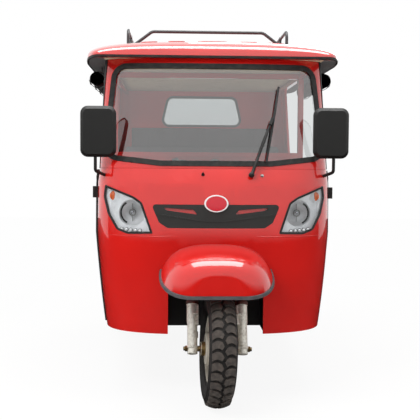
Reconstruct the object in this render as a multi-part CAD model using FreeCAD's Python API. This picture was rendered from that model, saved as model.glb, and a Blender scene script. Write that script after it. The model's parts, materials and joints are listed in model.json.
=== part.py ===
import FreeCAD, Part
import math
import os

# Auto rickshaw: a three-wheeled passenger motor tricycle with a closed front cowl, open doorways,
# a hard roof with a luggage rack and a motorcycle fork in front.
# Millimetres, +Z up, the nose points along -Y and +X is the vehicle's left.
# While it is modelled, Y is measured back from the front axle and Z from a level 278 mm below the
# axles. The export moves it so that the origin lies on the ground, in the middle of the whole length.

V = FreeCAD.Vector

# Overall size
overall_length = 2942.0
wheelbase = 2080.0
axle_z = 278.0
seat_gap = 0.3

# Tyres and wheels
tyre_radius = 290.0
tyre_half_width = 68.0
tyre_wall = 12.0
tread_half_width = 56.0
tread_crown_drop = 15.0
bead_radius = 160.0
bead_half_width = 42.0
bead_height = 10.0
rim_wall = 5.0
rim_flange = 9.0
rear_track = 1150.0
hub_bore_radius = 10.3
wheel_disc_thickness = 6.0
lug_circle_radius = 62.0
lug_hole_radius = 6.5
lug_count = 4

# Steering geometry and fork
rake = 25.0
fork_offset = 40.0
rest_steer = 4.0
leg_spacing = 252.0
slider_radius = 25.0
slider_top_radius = 28.0
slider_length = 268.0
stanchion_radius = 16.0
crown_at = 400.0
crown_height = 44.0
head_tube_gap = 5.0
head_tube_length = 190.0
head_tube_radius = 30.0
stem_radius = 20.0
column_length = 420.0
axle_radius = 10.0
handlebar_half_width = 330.0
handlebar_radius = 12.5
handlebar_sweep = 110.0
handlebar_rise = 45.0
grip_length = 125.0
grip_radius = 17.0

# Front cowl, as stations up the body: height, half width, nose setback, corner fullness
sill_z = 320.0
sill_half = 583.0
sill_nose = 152.0
hip_z = 560.0
hip_half = 612.0
hip_nose = 148.0
crease_z = 822.0
crease_half = 636.0
crease_nose = 150.0
shoulder_z = 1096.0
shoulder_half = 634.0
shoulder_nose = 186.0
scuttle_z = 1172.0
scuttle_half = 622.0
scuttle_nose = 240.0
header_half = 598.0
header_nose = 452.0
cowl_rear = 547.0
scuttle_rear = 530.0
header_rear = 610.0
lower_fullness = 2.8
upper_fullness = 2.55
screen_fullness = 2.8
cowl_wall = 14.0
outline_steps = 14

# Windscreen
glass_bottom_z = 1214.0
glass_corner_z = 1246.0
glass_top_z = 1712.0
glass_bottom_half = 574.0
glass_top_half = 528.0
glass_corner_radius = 58.0
glass_thickness = 6.0
seal_width = 28.0
seal_stand_out = 4.0

# Wheel slot, well and snout
slot_half = 246.0
slot_top_z = 730.0
slot_corner_radius = 60.0
well_wall = 5.0
well_top_z = 742.0
well_rear = 405.0
snout_root_half = 302.0
snout_tip_half = 110.0
snout_crown_z = 787.0
snout_tip_z = 655.0
snout_reach = 205.0
snout_root_y = 230.0
snout_wall = 10.0
snout_roundness = 2.5
snout_arch_fullness = 2.9
lip_rear_z = 655.0
lip_front_z = 573.0
lip_height = 16.0
lip_stand_out = 5.0

# Headlamps and grille
lamp_outline = ((582, 1084), (430, 1027), (384, 997), (326, 838), (458, 833), (516, 853), (566, 933), (590, 1022))
lamp_corner_radius = 12.0
lamp_depth = 62.0
lens_thickness = 4.0
main_lamp_x = 435.0
main_lamp_z = 940.0
main_lamp_radius = 71.0
turn_lamp_x = 525.0
turn_lamp_z = 1021.0
turn_lamp_radius = 26.0
bowl_wall = 3.0
bulb_hole_radius = 9.0
grille_outline = ((-335, 988), (335, 988), (294, 895), (250, 867), (-250, 867), (-294, 895))
grille_thickness = 10.0
grille_slot = ((97, 937), (252, 957), (278, 972), (118, 961))
grille_ridge = ((-322, 943), (-50, 906), (50, 906), (322, 943), (322, 935), (50, 898), (-50, 898), (-322, 935))
grille_ridge_height = 3.0
emblem_half_width = 62.0
emblem_half_height = 44.0
emblem_z = 994.0
emblem_thickness = 12.0

# Trim on the cowl
edge_trim_depth = 12.0
edge_trim_stand_out = 4.0
pillar_wrap = 62.0
clip_width = 34.0
clip_height = 62.0
clip_depth = 40.0
clip_z = 1041.0

# Mirrors
mirror_inner_x = 523.0
mirror_outer_x = 710.0
mirror_bottom_z = 1230.0
mirror_top_z = 1498.0
mirror_y = 300.0
mirror_depth = 42.0
mirror_corner_radius = 40.0
mirror_glass_thickness = 3.0
mirror_rim = 9.0
mirror_arm_radius = 8.5
mirror_arm_x = 632.0
mirror_foot_x = 585.0
mirror_foot_z = 1135.0

# Wiper
wiper_pivot_x = 183.0
wiper_pivot_z = 1142.0
wiper_blade = ((264.0, 1206.0), (343.0, 1613.0))
wiper_arm_end = (298.0, 1430.0)
wiper_stand_off = 16.0

# Roof and rack
eave_z = 1780.0
roof_half = 718.0
roof_crown = 112.0
roof_front = 418.0
roof_rear = 2590.0
roof_wall = 12.0
roof_fullness = 2.9
roof_visor = 420.0
roof_tail = 160.0
roof_end_steps = 6
lining_thickness = 12.0
drip_edge = 14.0
soffit_rear = 470.0
rib_height = 6.0
rib_front = 640.0
rib_rear = 2440.0
rib_places = ((0.0, 85.0), (205.0, 48.0), (-205.0, 48.0), (360.0, 48.0), (-360.0, 48.0))
rack_tube_radius = 10.0
rack_slat_radius = 8.0
rack_half = 517.0
rack_top_z = 2068.0
rack_floor_z = 1977.0
rack_front = 1400.0
rack_rear = 2400.0
rack_bar_half = 362.0
rack_bar_foot = 467.0
rack_slats = 6

# Floor, frame and rear cabin
floor_z = 400.0
floor_thickness = 8.0
floor_half = 656.0
floor_half_front = 586.0
rail_inner_x = 300.0
rail_width = 50.0
rail_height = 50.0
rail_bottom_z = 342.0
rail_kick = 92.0
rail_kick_start = 1790.0
rail_kick_end = 1930.0
rail_front = 430.0
pillar_width = 32.0
pillar_depth = 42.0
b_pillar_y = 1170.0
cabin_half_low = 676.0
cabin_half_waist = 692.0
cabin_half_top = 640.0
cabin_rear_low = 2540.0
cabin_rear_waist = 2568.0
cabin_rear_top = 2515.0
cabin_corner = 90.0
cabin_wall = 16.0
cabin_bottom_z = 345.0
cabin_waist_z = 820.0
quarter_front = 1700.0
belt_z = 985.0
c_pillar_front = 2230.0
arch_radius = 335.0
rear_window_top_z = 1712.0
rear_window_bottom_z = 1508.0
rear_window_top_half = 256.0
rear_window_bottom_half = 304.0
rear_window_corner = 40.0
plate_z = 640.0
plate_hole_spacing = 280.0
plate_hole_radius = 3.5
sill_width = 60.0
bench_base_half = 480.0

# Seats and partition
partition_y = 1196.0
partition_thickness = 10.0
partition_top_z = 1180.0
seat_base_half = 330.0
sheet_thickness = 6.0
seat_base_front = 800.0
seat_base_top_z = 680.0
driver_half = 255.0
driver_front = 775.0
driver_cushion_rear = 1085.0
driver_back_front = 1090.0
back_lift = 14.0
pad_radius = 30.0
cushion_thickness = 110.0
driver_back_top_z = 1200.0
dash_rear = 385.0
bench_half = 590.0
bench_front = 1850.0
bench_cushion_rear = 2320.0
bench_back_front = 2325.0
bench_base_rear = 2420.0
bench_base_top_z = 710.0
bench_back_top_z = 1340.0
back_thickness = 95.0

# Rolled side curtains
roll_radius = 46.0
roll_x = 672.0
roll_z = 1696.0
roll_front = 880.0
roll_rear = 1680.0
strap_width = 30.0
strap_thickness = 3.0

# Running gear
axle_tube_radius = 36.0
axle_tube_half = 470.0
drum_radius = 98.0
drum_width = 30.0
stub_radius = 20.0
case_radius = 112.0
case_half = 125.0
yoke_length = 60.0
yoke_radius = 36.0
prop_radius = 22.0
hub_radius = 45.0
spring_x = 395.0
spring_width = 50.0
spring_leaf = 8.0
spring_leaves = 4
spring_span = 820.0
spring_camber = 30.0
spring_eye_radius = 15.0
shock_radius = 22.0
shock_eye_radius = 14.0
shock_x = 325.0


def box(x0, x1, y0, y1, z0, z1):
    """A block between two opposite corners."""
    return Part.makeBox(x1 - x0, y1 - y0, z1 - z0, V(x0, y0, z0))


def rod(start, end, radius):
    """A round bar between two points."""
    first = V(*start)
    run = V(*end) - first
    return Part.makeCylinder(radius, run.Length, first, run)


def mirrored(shape):
    """The same shape on the other side of the vehicle."""
    return shape.mirror(V(0, 0, 0), V(1, 0, 0))


def pair(shape):
    """A shape with its mirror twin, as two solids."""
    return Part.makeCompound([shape, mirrored(shape)])


def fused(shapes):
    """One solid from shapes that touch."""
    return shapes[0].multiFuse(shapes[1:]).removeSplitter()


def front_view(y):
    """Lifts a flat point into the plane across the vehicle at y."""
    return lambda across, up: V(across, y, up)


def side_view(x):
    """Lifts a flat point into the lengthwise plane at x."""
    return lambda along, up: V(x, along, up)


def plan_view(z):
    """Lifts a flat point into the level plane at z."""
    return lambda across, along: V(across, along, z)


def rounded_wire(points, radius, lift):
    """A closed outline whose corners are arcs."""
    corners = [lift(*point) for point in points]
    count = len(corners)
    arcs = []
    for index, corner in enumerate(corners):
        into = (corner - corners[index - 1]).normalize()
        away = (corners[(index + 1) % count] - corner).normalize()
        turn = into.getAngle(away)
        reach = radius * math.tan(turn / 2)
        inward = (away - into).normalize()
        middle = corner + inward * (radius / math.cos(turn / 2) - radius)
        arcs.append((corner - into * reach, middle, corner + away * reach))
    edges = []
    for index, (first, middle, last) in enumerate(arcs):
        edges.append(Part.Arc(first, middle, last).toShape())
        edges.append(Part.LineSegment(last, arcs[(index + 1) % count][0]).toShape())
    return Part.Wire(edges)


def prism(wire, direction):
    """A flat closed outline drawn out into a solid."""
    return Part.Face(wire).extrude(V(*direction))


def bent_tube(points, radius, bend):
    """A round tube along straight runs joined by tangent arcs."""
    corners = [V(*point) for point in points]
    edges = []
    start = corners[0]
    for before, corner, after in zip(corners, corners[1:], corners[2:]):
        into = (corner - before).normalize()
        away = (after - corner).normalize()
        turn = into.getAngle(away)
        reach = bend * math.tan(turn / 2)
        inward = (away - into).normalize()
        middle = corner + inward * (bend / math.cos(turn / 2) - bend)
        first = corner - into * reach
        last = corner + away * reach
        edges.append(Part.LineSegment(start, first).toShape())
        edges.append(Part.Arc(first, middle, last).toShape())
        start = last
    edges.append(Part.LineSegment(start, corners[-1]).toShape())
    section = Part.Wire(Part.makeCircle(radius, corners[0], corners[1] - corners[0]))
    return Part.Wire(edges).makePipeShell([section], True, False)


def arch(half, rise, fullness, lift):
    """Half a superellipse as a smooth curve, from one foot over the crown to the other foot."""
    points = []
    for step in range(outline_steps + 1):
        angle = math.pi * step / outline_steps - math.pi / 2
        across = math.sin(angle)
        up = max(math.cos(angle), 0.0)
        reach = (abs(across) ** fullness + up ** fullness) ** (-1 / fullness)
        points.append(lift(half * reach * across, rise * reach * up))
    curve = Part.BSplineCurve()
    curve.interpolate(Points=points, Parameters=[float(step) for step in range(outline_steps + 1)])
    return curve.toShape(), points[0], points[-1]


def front_outline(station, inset=0.0, run_back=0.0):
    """The plan outline of the front body at one height, a superellipse open to the rear."""
    height, half_width, nose, rear, fullness = station
    half = half_width - inset
    curve, right, left = arch(half, rear - nose - inset, fullness, lambda across, up: V(across, rear - up, height))
    corners = [left, right]
    if run_back:
        corners[1:1] = [V(half, rear + run_back, height), V(-half, rear + run_back, height)]
    edges = [curve]
    for first, last in zip(corners, corners[1:]):
        edges.append(Part.LineSegment(first, last).toShape())
    return Part.Wire(edges)


sill = (sill_z, sill_half, sill_nose, cowl_rear, lower_fullness)
hip = (hip_z, hip_half, hip_nose, cowl_rear, lower_fullness)
crease = (crease_z, crease_half, crease_nose, cowl_rear, upper_fullness)
shoulder = (shoulder_z, shoulder_half, shoulder_nose, cowl_rear, upper_fullness)
scuttle = (scuttle_z, scuttle_half, scuttle_nose, scuttle_rear, screen_fullness)
header_z = eave_z - lining_thickness
header = (header_z, header_half, header_nose, header_rear, screen_fullness)
cowl_bands = ((sill, hip, crease), (crease, shoulder), (shoulder, scuttle))
screen_bands = ((scuttle, header),)


def front_solid(bands, inset=0.0, run_back=0.0):
    """The front body as a full solid, creased where one band meets the next."""
    lofts = []
    for band in bands:
        wires = [front_outline(station, inset, run_back) for station in band]
        lofts.append(Part.makeLoft(wires, True, len(band) == 2))
    if len(lofts) == 1:
        return lofts[0]
    return lofts[0].multiFuse(lofts[1:])


def front_shell(bands, outer_inset, inner_inset):
    """A wall that follows the front body between two insets from its outer face."""
    return front_solid(bands, outer_inset).cut(front_solid(bands, inner_inset, 60.0))


def through(wire, start, end):
    """A tool that carries a front-view outline through the nose."""
    return prism(wire, (0, end - start, 0))


def lamp_wire(side, y, offset=0.0):
    """A headlamp's front-view outline; side is 1 for the left lamp and -1 for the right."""
    points = [(side * across, up) for across, up in lamp_outline]
    wire = rounded_wire(points, lamp_corner_radius, front_view(y))
    return wire.makeOffset2D(offset) if offset else wire


def grille_wire(y, offset=0.0):
    """The grille's front-view outline."""
    wire = rounded_wire(grille_outline, 16.0, front_view(y))
    return wire.makeOffset2D(offset) if offset else wire


def glass_wire(y, offset=0.0):
    """The windscreen glass in front view, with a bottom edge that dips in the middle."""
    dip_half = glass_bottom_half * 0.5
    points = (
        (-glass_bottom_half, glass_corner_z), (-dip_half, glass_bottom_z), (dip_half, glass_bottom_z),
        (glass_bottom_half, glass_corner_z), (glass_top_half, glass_top_z), (-glass_top_half, glass_top_z),
    )
    wire = rounded_wire(points, glass_corner_radius, front_view(y))
    return wire.makeOffset2D(offset) if offset else wire


def front_cowl():
    """Pressed front panel with its lamp, grille and wheel openings."""
    panel = front_shell(cowl_bands, 0.0, cowl_wall)
    slot = rounded_wire(
        ((-slot_half, sill_z - 200), (slot_half, sill_z - 200), (slot_half, slot_top_z), (-slot_half, slot_top_z)),
        slot_corner_radius, front_view(0))
    recess = through(grille_wire(0), 0, 320).cut(front_solid(cowl_bands, 1.0 + grille_thickness + seat_gap))
    tools = [through(slot, 0, 300), recess]
    for side in (-1, 1):
        tools.append(through(lamp_wire(side, 0), 0, 520))
    for tool in tools:
        panel = panel.cut(tool)
    return panel


def screen_frame():
    """Pillars and header round the windscreen."""
    return front_shell(screen_bands, 0.0, cowl_wall).cut(through(glass_wire(0, seal_width), 0, header_rear - 60))


def screen_seal():
    """Rubber frame that holds the glass in the body."""
    ring = through(glass_wire(0, seal_width), 0, header_rear - 60).cut(through(glass_wire(0), 0, header_rear - 60))
    return front_shell(screen_bands, -seal_stand_out, cowl_wall + 2).common(ring)


def screen_glass():
    """Bowed windscreen pane."""
    pane = front_shell(screen_bands, seal_stand_out, seal_stand_out + glass_thickness)
    return pane.common(through(glass_wire(0), 0, header_rear - 60))


def arched_wire(y, half, base_z, rise, fullness):
    """A closed cross-section: an arch over a level base."""
    curve, right, left = arch(half, rise, fullness, lambda across, up: V(across, y, base_z + up))
    return Part.Wire([curve, Part.LineSegment(left, right).toShape()])


def snout_solid(inset):
    """The front mudguard as a full solid, from arched sections that shrink towards the tip."""
    wires = []
    for reach in (0.0, 0.3, 0.55, 0.75, 0.9, 0.97, 1.0):
        swell = (1 - reach ** snout_roundness) ** (1 / snout_roundness)
        half = snout_tip_half + (snout_root_half - snout_tip_half) * swell - inset
        top = snout_tip_z + (snout_crown_z - snout_tip_z) * swell - inset
        base = lip_front_z - 80
        y = snout_root_y - (snout_root_y + snout_reach - inset) * reach
        wires.append(arched_wire(y, half, base, top - base, snout_arch_fullness))
    return Part.makeLoft(wires, True, False)


def below_lip(drop):
    """Everything under the mudguard's slanting lower edge, lowered by drop."""
    front = -snout_reach - 60
    slope = (lip_rear_z - lip_front_z) / (sill_nose + snout_reach)
    front_z = lip_front_z - slope * 60 - drop
    rear_z = lip_front_z + slope * (snout_root_y + 60 + snout_reach) - drop
    side = ((front, 0), (snout_root_y + 60, 0), (snout_root_y + 60, rear_z), (front, front_z))
    corners = [V(-400, y, z) for y, z in side]
    return prism(Part.makePolygon(corners + corners[:1]), (800, 0, 0))


def snout():
    """Front mudguard, fixed to the cowl above the wheel slot."""
    skin = snout_solid(0.0).cut(snout_solid(snout_wall)).cut(below_lip(0.0))
    return skin.cut(front_solid(cowl_bands))


def snout_lip():
    """Grey rubber edging along the mudguard's lower edge."""
    band = snout_solid(-lip_stand_out).cut(snout_solid(snout_wall + 3))
    band = band.cut(below_lip(lip_height)).common(below_lip(0.0))
    return band.cut(front_solid(cowl_bands))


def wheel_well():
    """Black liner between the front wheel and the cab."""
    outer = slot_half + 12
    inner = outer - well_wall
    liner = box(-outer, outer, 0, well_rear, sill_z, well_top_z + well_wall)
    liner = liner.cut(box(-inner, inner, -50, well_rear - well_wall, sill_z - 10, well_top_z))
    liner = liner.common(front_solid(cowl_bands, cowl_wall + seat_gap, 60.0))
    return liner.cut(steered(Part.makeCylinder(head_tube_radius + seat_gap, 900), 0.0))


def steered(shape, turn):
    """Turns a shape about the steering axis and leans that axis back by the rake."""
    moved = shape.copy()
    moved.rotate(V(0, 0, 0), V(0, 0, 1), turn)
    moved.rotate(V(0, 0, 0), V(1, 0, 0), -rake)
    lean = math.radians(rake)
    moved.translate(V(0, fork_offset * math.cos(lean), axle_z - fork_offset * math.sin(lean)))
    return moved


def head_tube():
    """Steering head of the frame, round the fork's stem."""
    start = crown_at + crown_height / 2 + head_tube_gap
    tube = Part.makeCylinder(head_tube_radius, head_tube_length, V(0, 0, start))
    return steered(tube.cut(Part.makeCylinder(stem_radius + seat_gap, 900)), 0.0)


def rail_rear():
    """Where the rails end, against the inside of the rear panel."""
    share = (rail_bottom_z + rail_kick - cabin_bottom_z) / (cabin_waist_z - cabin_bottom_z)
    return cabin_rear_low + (cabin_rear_waist - cabin_rear_low) * share - cabin_wall - seat_gap


def frame_rail():
    """One lengthwise member, kicked up over the rear axle."""
    top = rail_bottom_z + rail_height
    side = (
        (rail_front, rail_bottom_z), (rail_kick_start, rail_bottom_z), (rail_kick_end, rail_bottom_z + rail_kick),
        (rail_rear(), rail_bottom_z + rail_kick), (rail_rear(), top + rail_kick), (rail_kick_end - 12, top + rail_kick),
        (rail_kick_start - 12, top), (rail_front, top),
    )
    corners = [V(rail_inner_x, y, z) for y, z in side]
    return prism(Part.makePolygon(corners + corners[:1]), (rail_width, 0, 0))


def chassis_frame():
    """Ladder frame with the steering head on two neck tubes."""
    top = rail_bottom_z + rail_height
    pieces = [frame_rail(), mirrored(frame_rail())]
    for y in (rail_front, 760.0, partition_y, 1600.0):
        pieces.append(box(-rail_inner_x - 10, rail_inner_x + 10, y, y + 40, rail_bottom_z, top))
    for y in (rail_kick_end + 60, rail_rear() - 60):
        pieces.append(box(-rail_inner_x - 10, rail_inner_x + 10, y, y + 40, rail_bottom_z + rail_kick, top + rail_kick))
    start = crown_at + crown_height / 2 + head_tube_gap
    lean = math.radians(rake)
    for at in (start + head_tube_length - 55, start + head_tube_length - 18):
        y = fork_offset * math.cos(lean) + at * math.sin(lean)
        z = axle_z - fork_offset * math.sin(lean) + at * math.cos(lean)
        for side in (-1, 1):
            foot = (side * 220, rail_front + 20, top - 20)
            points = ((side * 12, y, z), (side * 90, well_rear + 60, z - 10), foot)
            pieces.append(bent_tube(points, 15.0, 50.0))
    neck = fused(pieces).cut(steered(Part.makeCylinder(stem_radius + seat_gap, 900), 0.0))
    return neck.fuse(head_tube()).removeSplitter()


def sill_start():
    """Where floor and sills begin, behind the cowl's edge strips."""
    return cowl_rear + edge_trim_depth + seat_gap


def floor_edge(y):
    """Half width of the floor, which widens from the cowl back to the quarter panels."""
    share = min((y - sill_start()) / (quarter_front - sill_start()), 1.0)
    return floor_half_front + (floor_half - floor_half_front) * share


def floor_pan():
    """Flat floor from the toe board to the bench."""
    base = floor_z - floor_thickness
    join = sill_start()
    rear_y = rail_kick_start - 14
    outer = slot_half + 12 + seat_gap
    front = box(-floor_half, floor_half, 0, join, base, floor_z)
    front = front.common(front_solid(cowl_bands, cowl_wall + seat_gap, 60.0))
    front = front.cut(box(-outer, outer, 0, well_rear + seat_gap, base - 10, floor_z + 10))
    corners = [(floor_edge(y), y) for y in (join, quarter_front, rear_y)]
    corners += [(-x, y) for x, y in reversed(corners)]
    plan = [V(x, y, base) for x, y in corners]
    middle = prism(Part.makePolygon(plan + plan[:1]), (0, 0, floor_thickness))
    rear = box(-bench_base_half, bench_base_half, rear_y, bench_front + 20, base, floor_z)
    hole = box(-rail_inner_x + 20, rail_inner_x - 20, seat_base_front + 20, partition_y - 20, base - 10, floor_z + 10)
    neck = box(-240, 240, well_rear - 20, rail_front + 60, base - 10, floor_z + 10)
    plate = fused([front, middle, rear]).cut(hole).cut(neck)
    return plate.cut(frame_rail()).cut(mirrored(frame_rail()))


def sill_panels():
    """Box sills under the doorways."""
    y0, y1 = sill_start(), quarter_front - seat_gap
    corners = [V(floor_edge(y) - inset, y, sill_z) for y, inset in
               ((y0, sill_width), (y0, 0), (y1, 0), (y1, sill_width))]
    return pair(prism(Part.makePolygon(corners + corners[:1]), (0, 0, floor_z - floor_thickness - sill_z)))


def edge_trims():
    """Black rubber strips down the rear edges of the cowl, wrapped wide round the windscreen pillars."""
    strips = []
    for bands, wrap in ((cowl_bands, 0.0), (screen_bands, pillar_wrap)):
        strip = front_solid(bands, -edge_trim_stand_out, edge_trim_depth)
        ahead = front_solid(bands, -edge_trim_stand_out - 2)
        ahead.translate(V(0, -wrap, 0))
        strip = strip.cut(ahead).cut(front_solid(bands)).cut(front_solid(bands, cowl_wall, 60.0))
        strips.extend(strip.Solids)
    rails = box(-header_half, header_half, cowl_rear + 20, header_rear + 40,
                header_z - pillar_width - seat_gap, header_z + 1)
    return Part.makeCompound(strips).cut(rails)


def side_clips():
    """Blocks that latch the rolled curtains, one on each flank of the cowl."""
    y1 = cowl_rear - 8
    x0 = shoulder_half - 30
    block = box(x0, shoulder_half + clip_width - 6, y1 - clip_depth, y1, clip_z - clip_height / 2, clip_z + clip_height / 2)
    return pair(block.cut(front_solid(cowl_bands, -seat_gap)))


def headlamp_housings():
    """Black lamp bodies with a round bowl for each bulb."""
    band = front_shell(cowl_bands, lens_thickness + 8, lamp_depth)
    bodies = []
    for side in (-1, 1):
        body = band.common(through(lamp_wire(side, 0, -seat_gap), 0, 520))
        for x, z, radius in lamp_bowls():
            body = body.cut(rod((side * x, 0, z), (side * x, 540, z), radius + seat_gap))
        bodies.append(body)
    return Part.makeCompound(bodies)


def lamp_bowls():
    """Places of the round reflectors: across, up and radius."""
    return (main_lamp_x, main_lamp_z, main_lamp_radius), (turn_lamp_x, turn_lamp_z, turn_lamp_radius)


def nose_y(x, z):
    """Setback of the cowl's outer face at a place in the front view."""
    line = Part.LineSegment(V(x, -100, z), V(x, cowl_rear - 1, z)).toShape()
    bands = cowl_bands if z < scuttle_z else screen_bands
    return front_solid(bands).common(line).BoundBox.YMin


def bowl(x, z, radius, depth):
    """A dished reflector that opens forward, with a hole for its bulb."""
    mouth = nose_y(abs(x) + radius, z) + lens_thickness + 3
    inside = radius - bowl_wall
    outer = Part.Arc(V(radius, 0, 0), V(radius * 0.78, depth * 0.72, 0), V(bulb_hole_radius, depth, 0)).toShape()
    inner = Part.Arc(V(bulb_hole_radius, depth - bowl_wall, 0), V(inside * 0.76, (depth - bowl_wall) * 0.7, 0),
                     V(inside, 0, 0)).toShape()
    rim = Part.LineSegment(V(inside, 0, 0), V(radius, 0, 0)).toShape()
    core = Part.LineSegment(V(bulb_hole_radius, depth, 0), V(bulb_hole_radius, depth - bowl_wall, 0)).toShape()
    dish = Part.Face(Part.Wire([rim, outer, core, inner])).revolve(V(0, 0, 0), V(0, 1, 0), 360)
    dish.translate(V(x, mouth, z))
    return dish


def headlamp_reflectors():
    """Bright bowls of the main and turn lamps."""
    dishes = []
    for side in (-1, 1):
        for x, z, radius in lamp_bowls():
            dishes.append(bowl(side * x, z, radius, radius * 0.75))
    return Part.makeCompound(dishes)


def headlamp_lenses():
    """Clear covers flush with the cowl."""
    skin = front_shell(cowl_bands, 0.5, lens_thickness + 0.5)
    covers = [skin.common(through(lamp_wire(side, 0, -seat_gap), 0, 520)) for side in (-1, 1)]
    return Part.makeCompound(covers)


def grille():
    """Black moulded panel with a ridge and a pair of slots that show the paint behind."""
    outline = through(grille_wire(0, -seat_gap), 0, 320)
    panel = front_shell(cowl_bands, 1.0, 1.0 + grille_thickness).common(outline)
    for side in (-1, 1):
        points = [(side * x, z) for x, z in grille_slot]
        panel = panel.cut(prism(rounded_wire(points, 3.0, front_view(0)), (0, 320, 0)))
    corners = [V(x, 0, z) for x, z in grille_ridge]
    ridge = prism(Part.makePolygon(corners + corners[:1]), (0, 320, 0)).common(outline)
    return fused([panel, ridge.common(front_shell(cowl_bands, 1.0 - grille_ridge_height, 3.0))])


def emblem():
    """Bare oval disc on the middle of the nose."""
    shape = Part.Ellipse(V(0, 0, 0), emblem_half_width, emblem_half_height).toShape()
    face = Part.Face(Part.Wire(shape))
    face.rotate(V(0, 0, 0), V(1, 0, 0), 90)
    face.translate(V(0, 0, emblem_z))
    oval = face.extrude(V(0, 320, 0))
    stand = emblem_thickness
    return oval.common(front_shell(cowl_bands, -stand, 0.0).common(oval))


def mirror_arms():
    """Bent tubes that carry the mirrors."""
    foot_y = nose_y(mirror_foot_x, mirror_foot_z) + 3
    points = (
        (mirror_foot_x, foot_y, mirror_foot_z), (mirror_arm_x, mirror_y + 24, mirror_foot_z + 22),
        (mirror_arm_x, mirror_y + 22, mirror_bottom_z - seat_gap),
    )
    arm = bent_tube(points, mirror_arm_radius, 18.0).cut(front_solid(cowl_bands))
    return pair(arm)


def mirror_outline(y, inset=0.0):
    """Rounded oblong of the left mirror in front view."""
    points = (
        (mirror_inner_x + inset, mirror_bottom_z + inset), (mirror_outer_x - inset, mirror_bottom_z + inset),
        (mirror_outer_x - inset, mirror_top_z - inset), (mirror_inner_x + inset, mirror_top_z - inset),
    )
    return rounded_wire(points, mirror_corner_radius - inset, front_view(y))


def mirror_housings():
    """Black mirror shells, dished towards the front."""
    wires = [mirror_outline(mirror_y + mirror_depth), mirror_outline(mirror_y + 14), mirror_outline(mirror_y, 16.0)]
    shell = Part.makeLoft(wires, True, True)
    recess = prism(mirror_outline(mirror_y + mirror_depth - 5, mirror_rim), (0, 10, 0))
    return pair(shell.cut(recess))


def mirror_glasses():
    """Panes that face the driver."""
    y = mirror_y + mirror_depth - 5
    return pair(prism(mirror_outline(y, mirror_rim + seat_gap), (0, mirror_glass_thickness, 0)))


def wiper():
    """Single wiper with its arm and blade in front of the glass."""
    pivot_y = nose_y(wiper_pivot_x, wiper_pivot_z)
    hub = rod((wiper_pivot_x, pivot_y - 22, wiper_pivot_z), (wiper_pivot_x, pivot_y + 30, wiper_pivot_z), 13.0)
    hub = hub.cut(front_solid(cowl_bands))
    (low_x, low_z), (high_x, high_z) = wiper_blade
    arm_x, arm_z = wiper_arm_end
    low_y = nose_y(low_x, low_z) - wiper_stand_off
    high_y = nose_y(high_x, high_z) - wiper_stand_off
    arm_y = nose_y(arm_x, arm_z) - wiper_stand_off
    arm = rod((wiper_pivot_x, pivot_y - 16, wiper_pivot_z), (arm_x, arm_y, arm_z), 5.0)
    blade = rod((low_x, low_y, low_z), (high_x, high_y, high_z), 6.0)
    return fused([hub, arm, blade])


def roof_end(tip_y, full_y, tip_width, tip_crown, inset):
    """One rounded end of the roof, swelling from its tip to the full section."""
    wires = []
    for step in range(roof_end_steps + 1):
        angle = math.pi / 2 * step / roof_end_steps
        swell = math.sin(angle)
        y = full_y + (tip_y - full_y) * math.cos(angle)
        half = roof_half * (tip_width + (1 - tip_width) * swell) - inset
        rise = roof_crown * (tip_crown + (1 - tip_crown) * swell) - inset
        wires.append(arched_wire(y, half, eave_z, rise, roof_fullness))
    return Part.makeLoft(wires, True, False), wires[-1]


def roof_solid(inset=0.0):
    """The roof as a full solid, with a long visor in front and a short rounded tail."""
    visor, front_wire = roof_end(roof_front + inset, roof_front + roof_visor, 0.86, 0.2, inset)
    tail, rear_wire = roof_end(roof_rear - inset, roof_rear - roof_tail, 0.92, 0.3, inset)
    middle = Part.makeLoft([front_wire, rear_wire], True, True)
    return visor.multiFuse([middle, tail])


def roof_ribs():
    """Shallow pressed ribs along the roof."""
    blanks = []
    for x, half in rib_places:
        points = ((x - half, rib_front), (x + half, rib_front), (x + half, rib_rear), (x - half, rib_rear))
        blanks.append(prism(rounded_wire(points, half * 0.6, plan_view(eave_z + 40)), (0, 0, 200)))
    return Part.makeCompound(blanks).common(roof_solid(-rib_height)).cut(roof_solid(roof_wall - 2))


def roof_panel():
    """Glossy hard roof: a ribbed shell, closed underneath ahead of the windscreen."""
    skin = roof_solid().multiFuse(roof_ribs().Solids).cut(roof_solid(roof_wall))
    return skin.fuse(eave_slab(roof_wall - 4, lining_thickness).common(ahead_of_screen())).removeSplitter()


def ahead_of_screen():
    """The room of the roof's front soffit."""
    return box(-roof_half, roof_half, 0, soffit_rear, eave_z - lining_thickness, eave_z)


def eave_slab(inset, depth):
    """The roof's plan outline at the eave, drawn down by depth."""
    faces = [face for face in roof_solid(inset).Faces
             if face.BoundBox.ZLength < 0.01 and abs(face.CenterOfMass.z - eave_z) < 0.01]
    return fused([face.extrude(V(0, 0, -depth)) for face in faces])


def roof_lining():
    """Beige headlining under the roof."""
    return eave_slab(roof_wall - 4, lining_thickness).cut(ahead_of_screen())


def drip_edge_trim():
    """Black gutter strip round the eave."""
    return eave_slab(0.0, drip_edge).cut(eave_slab(roof_wall - 4, drip_edge))


def roof_top_z(x, y):
    """Height of the roof's outer face at a place in plan."""
    line = Part.LineSegment(V(x, y, eave_z + 1), V(x, y, eave_z + 400)).toShape()
    return roof_solid().common(line).BoundBox.ZMax


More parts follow.
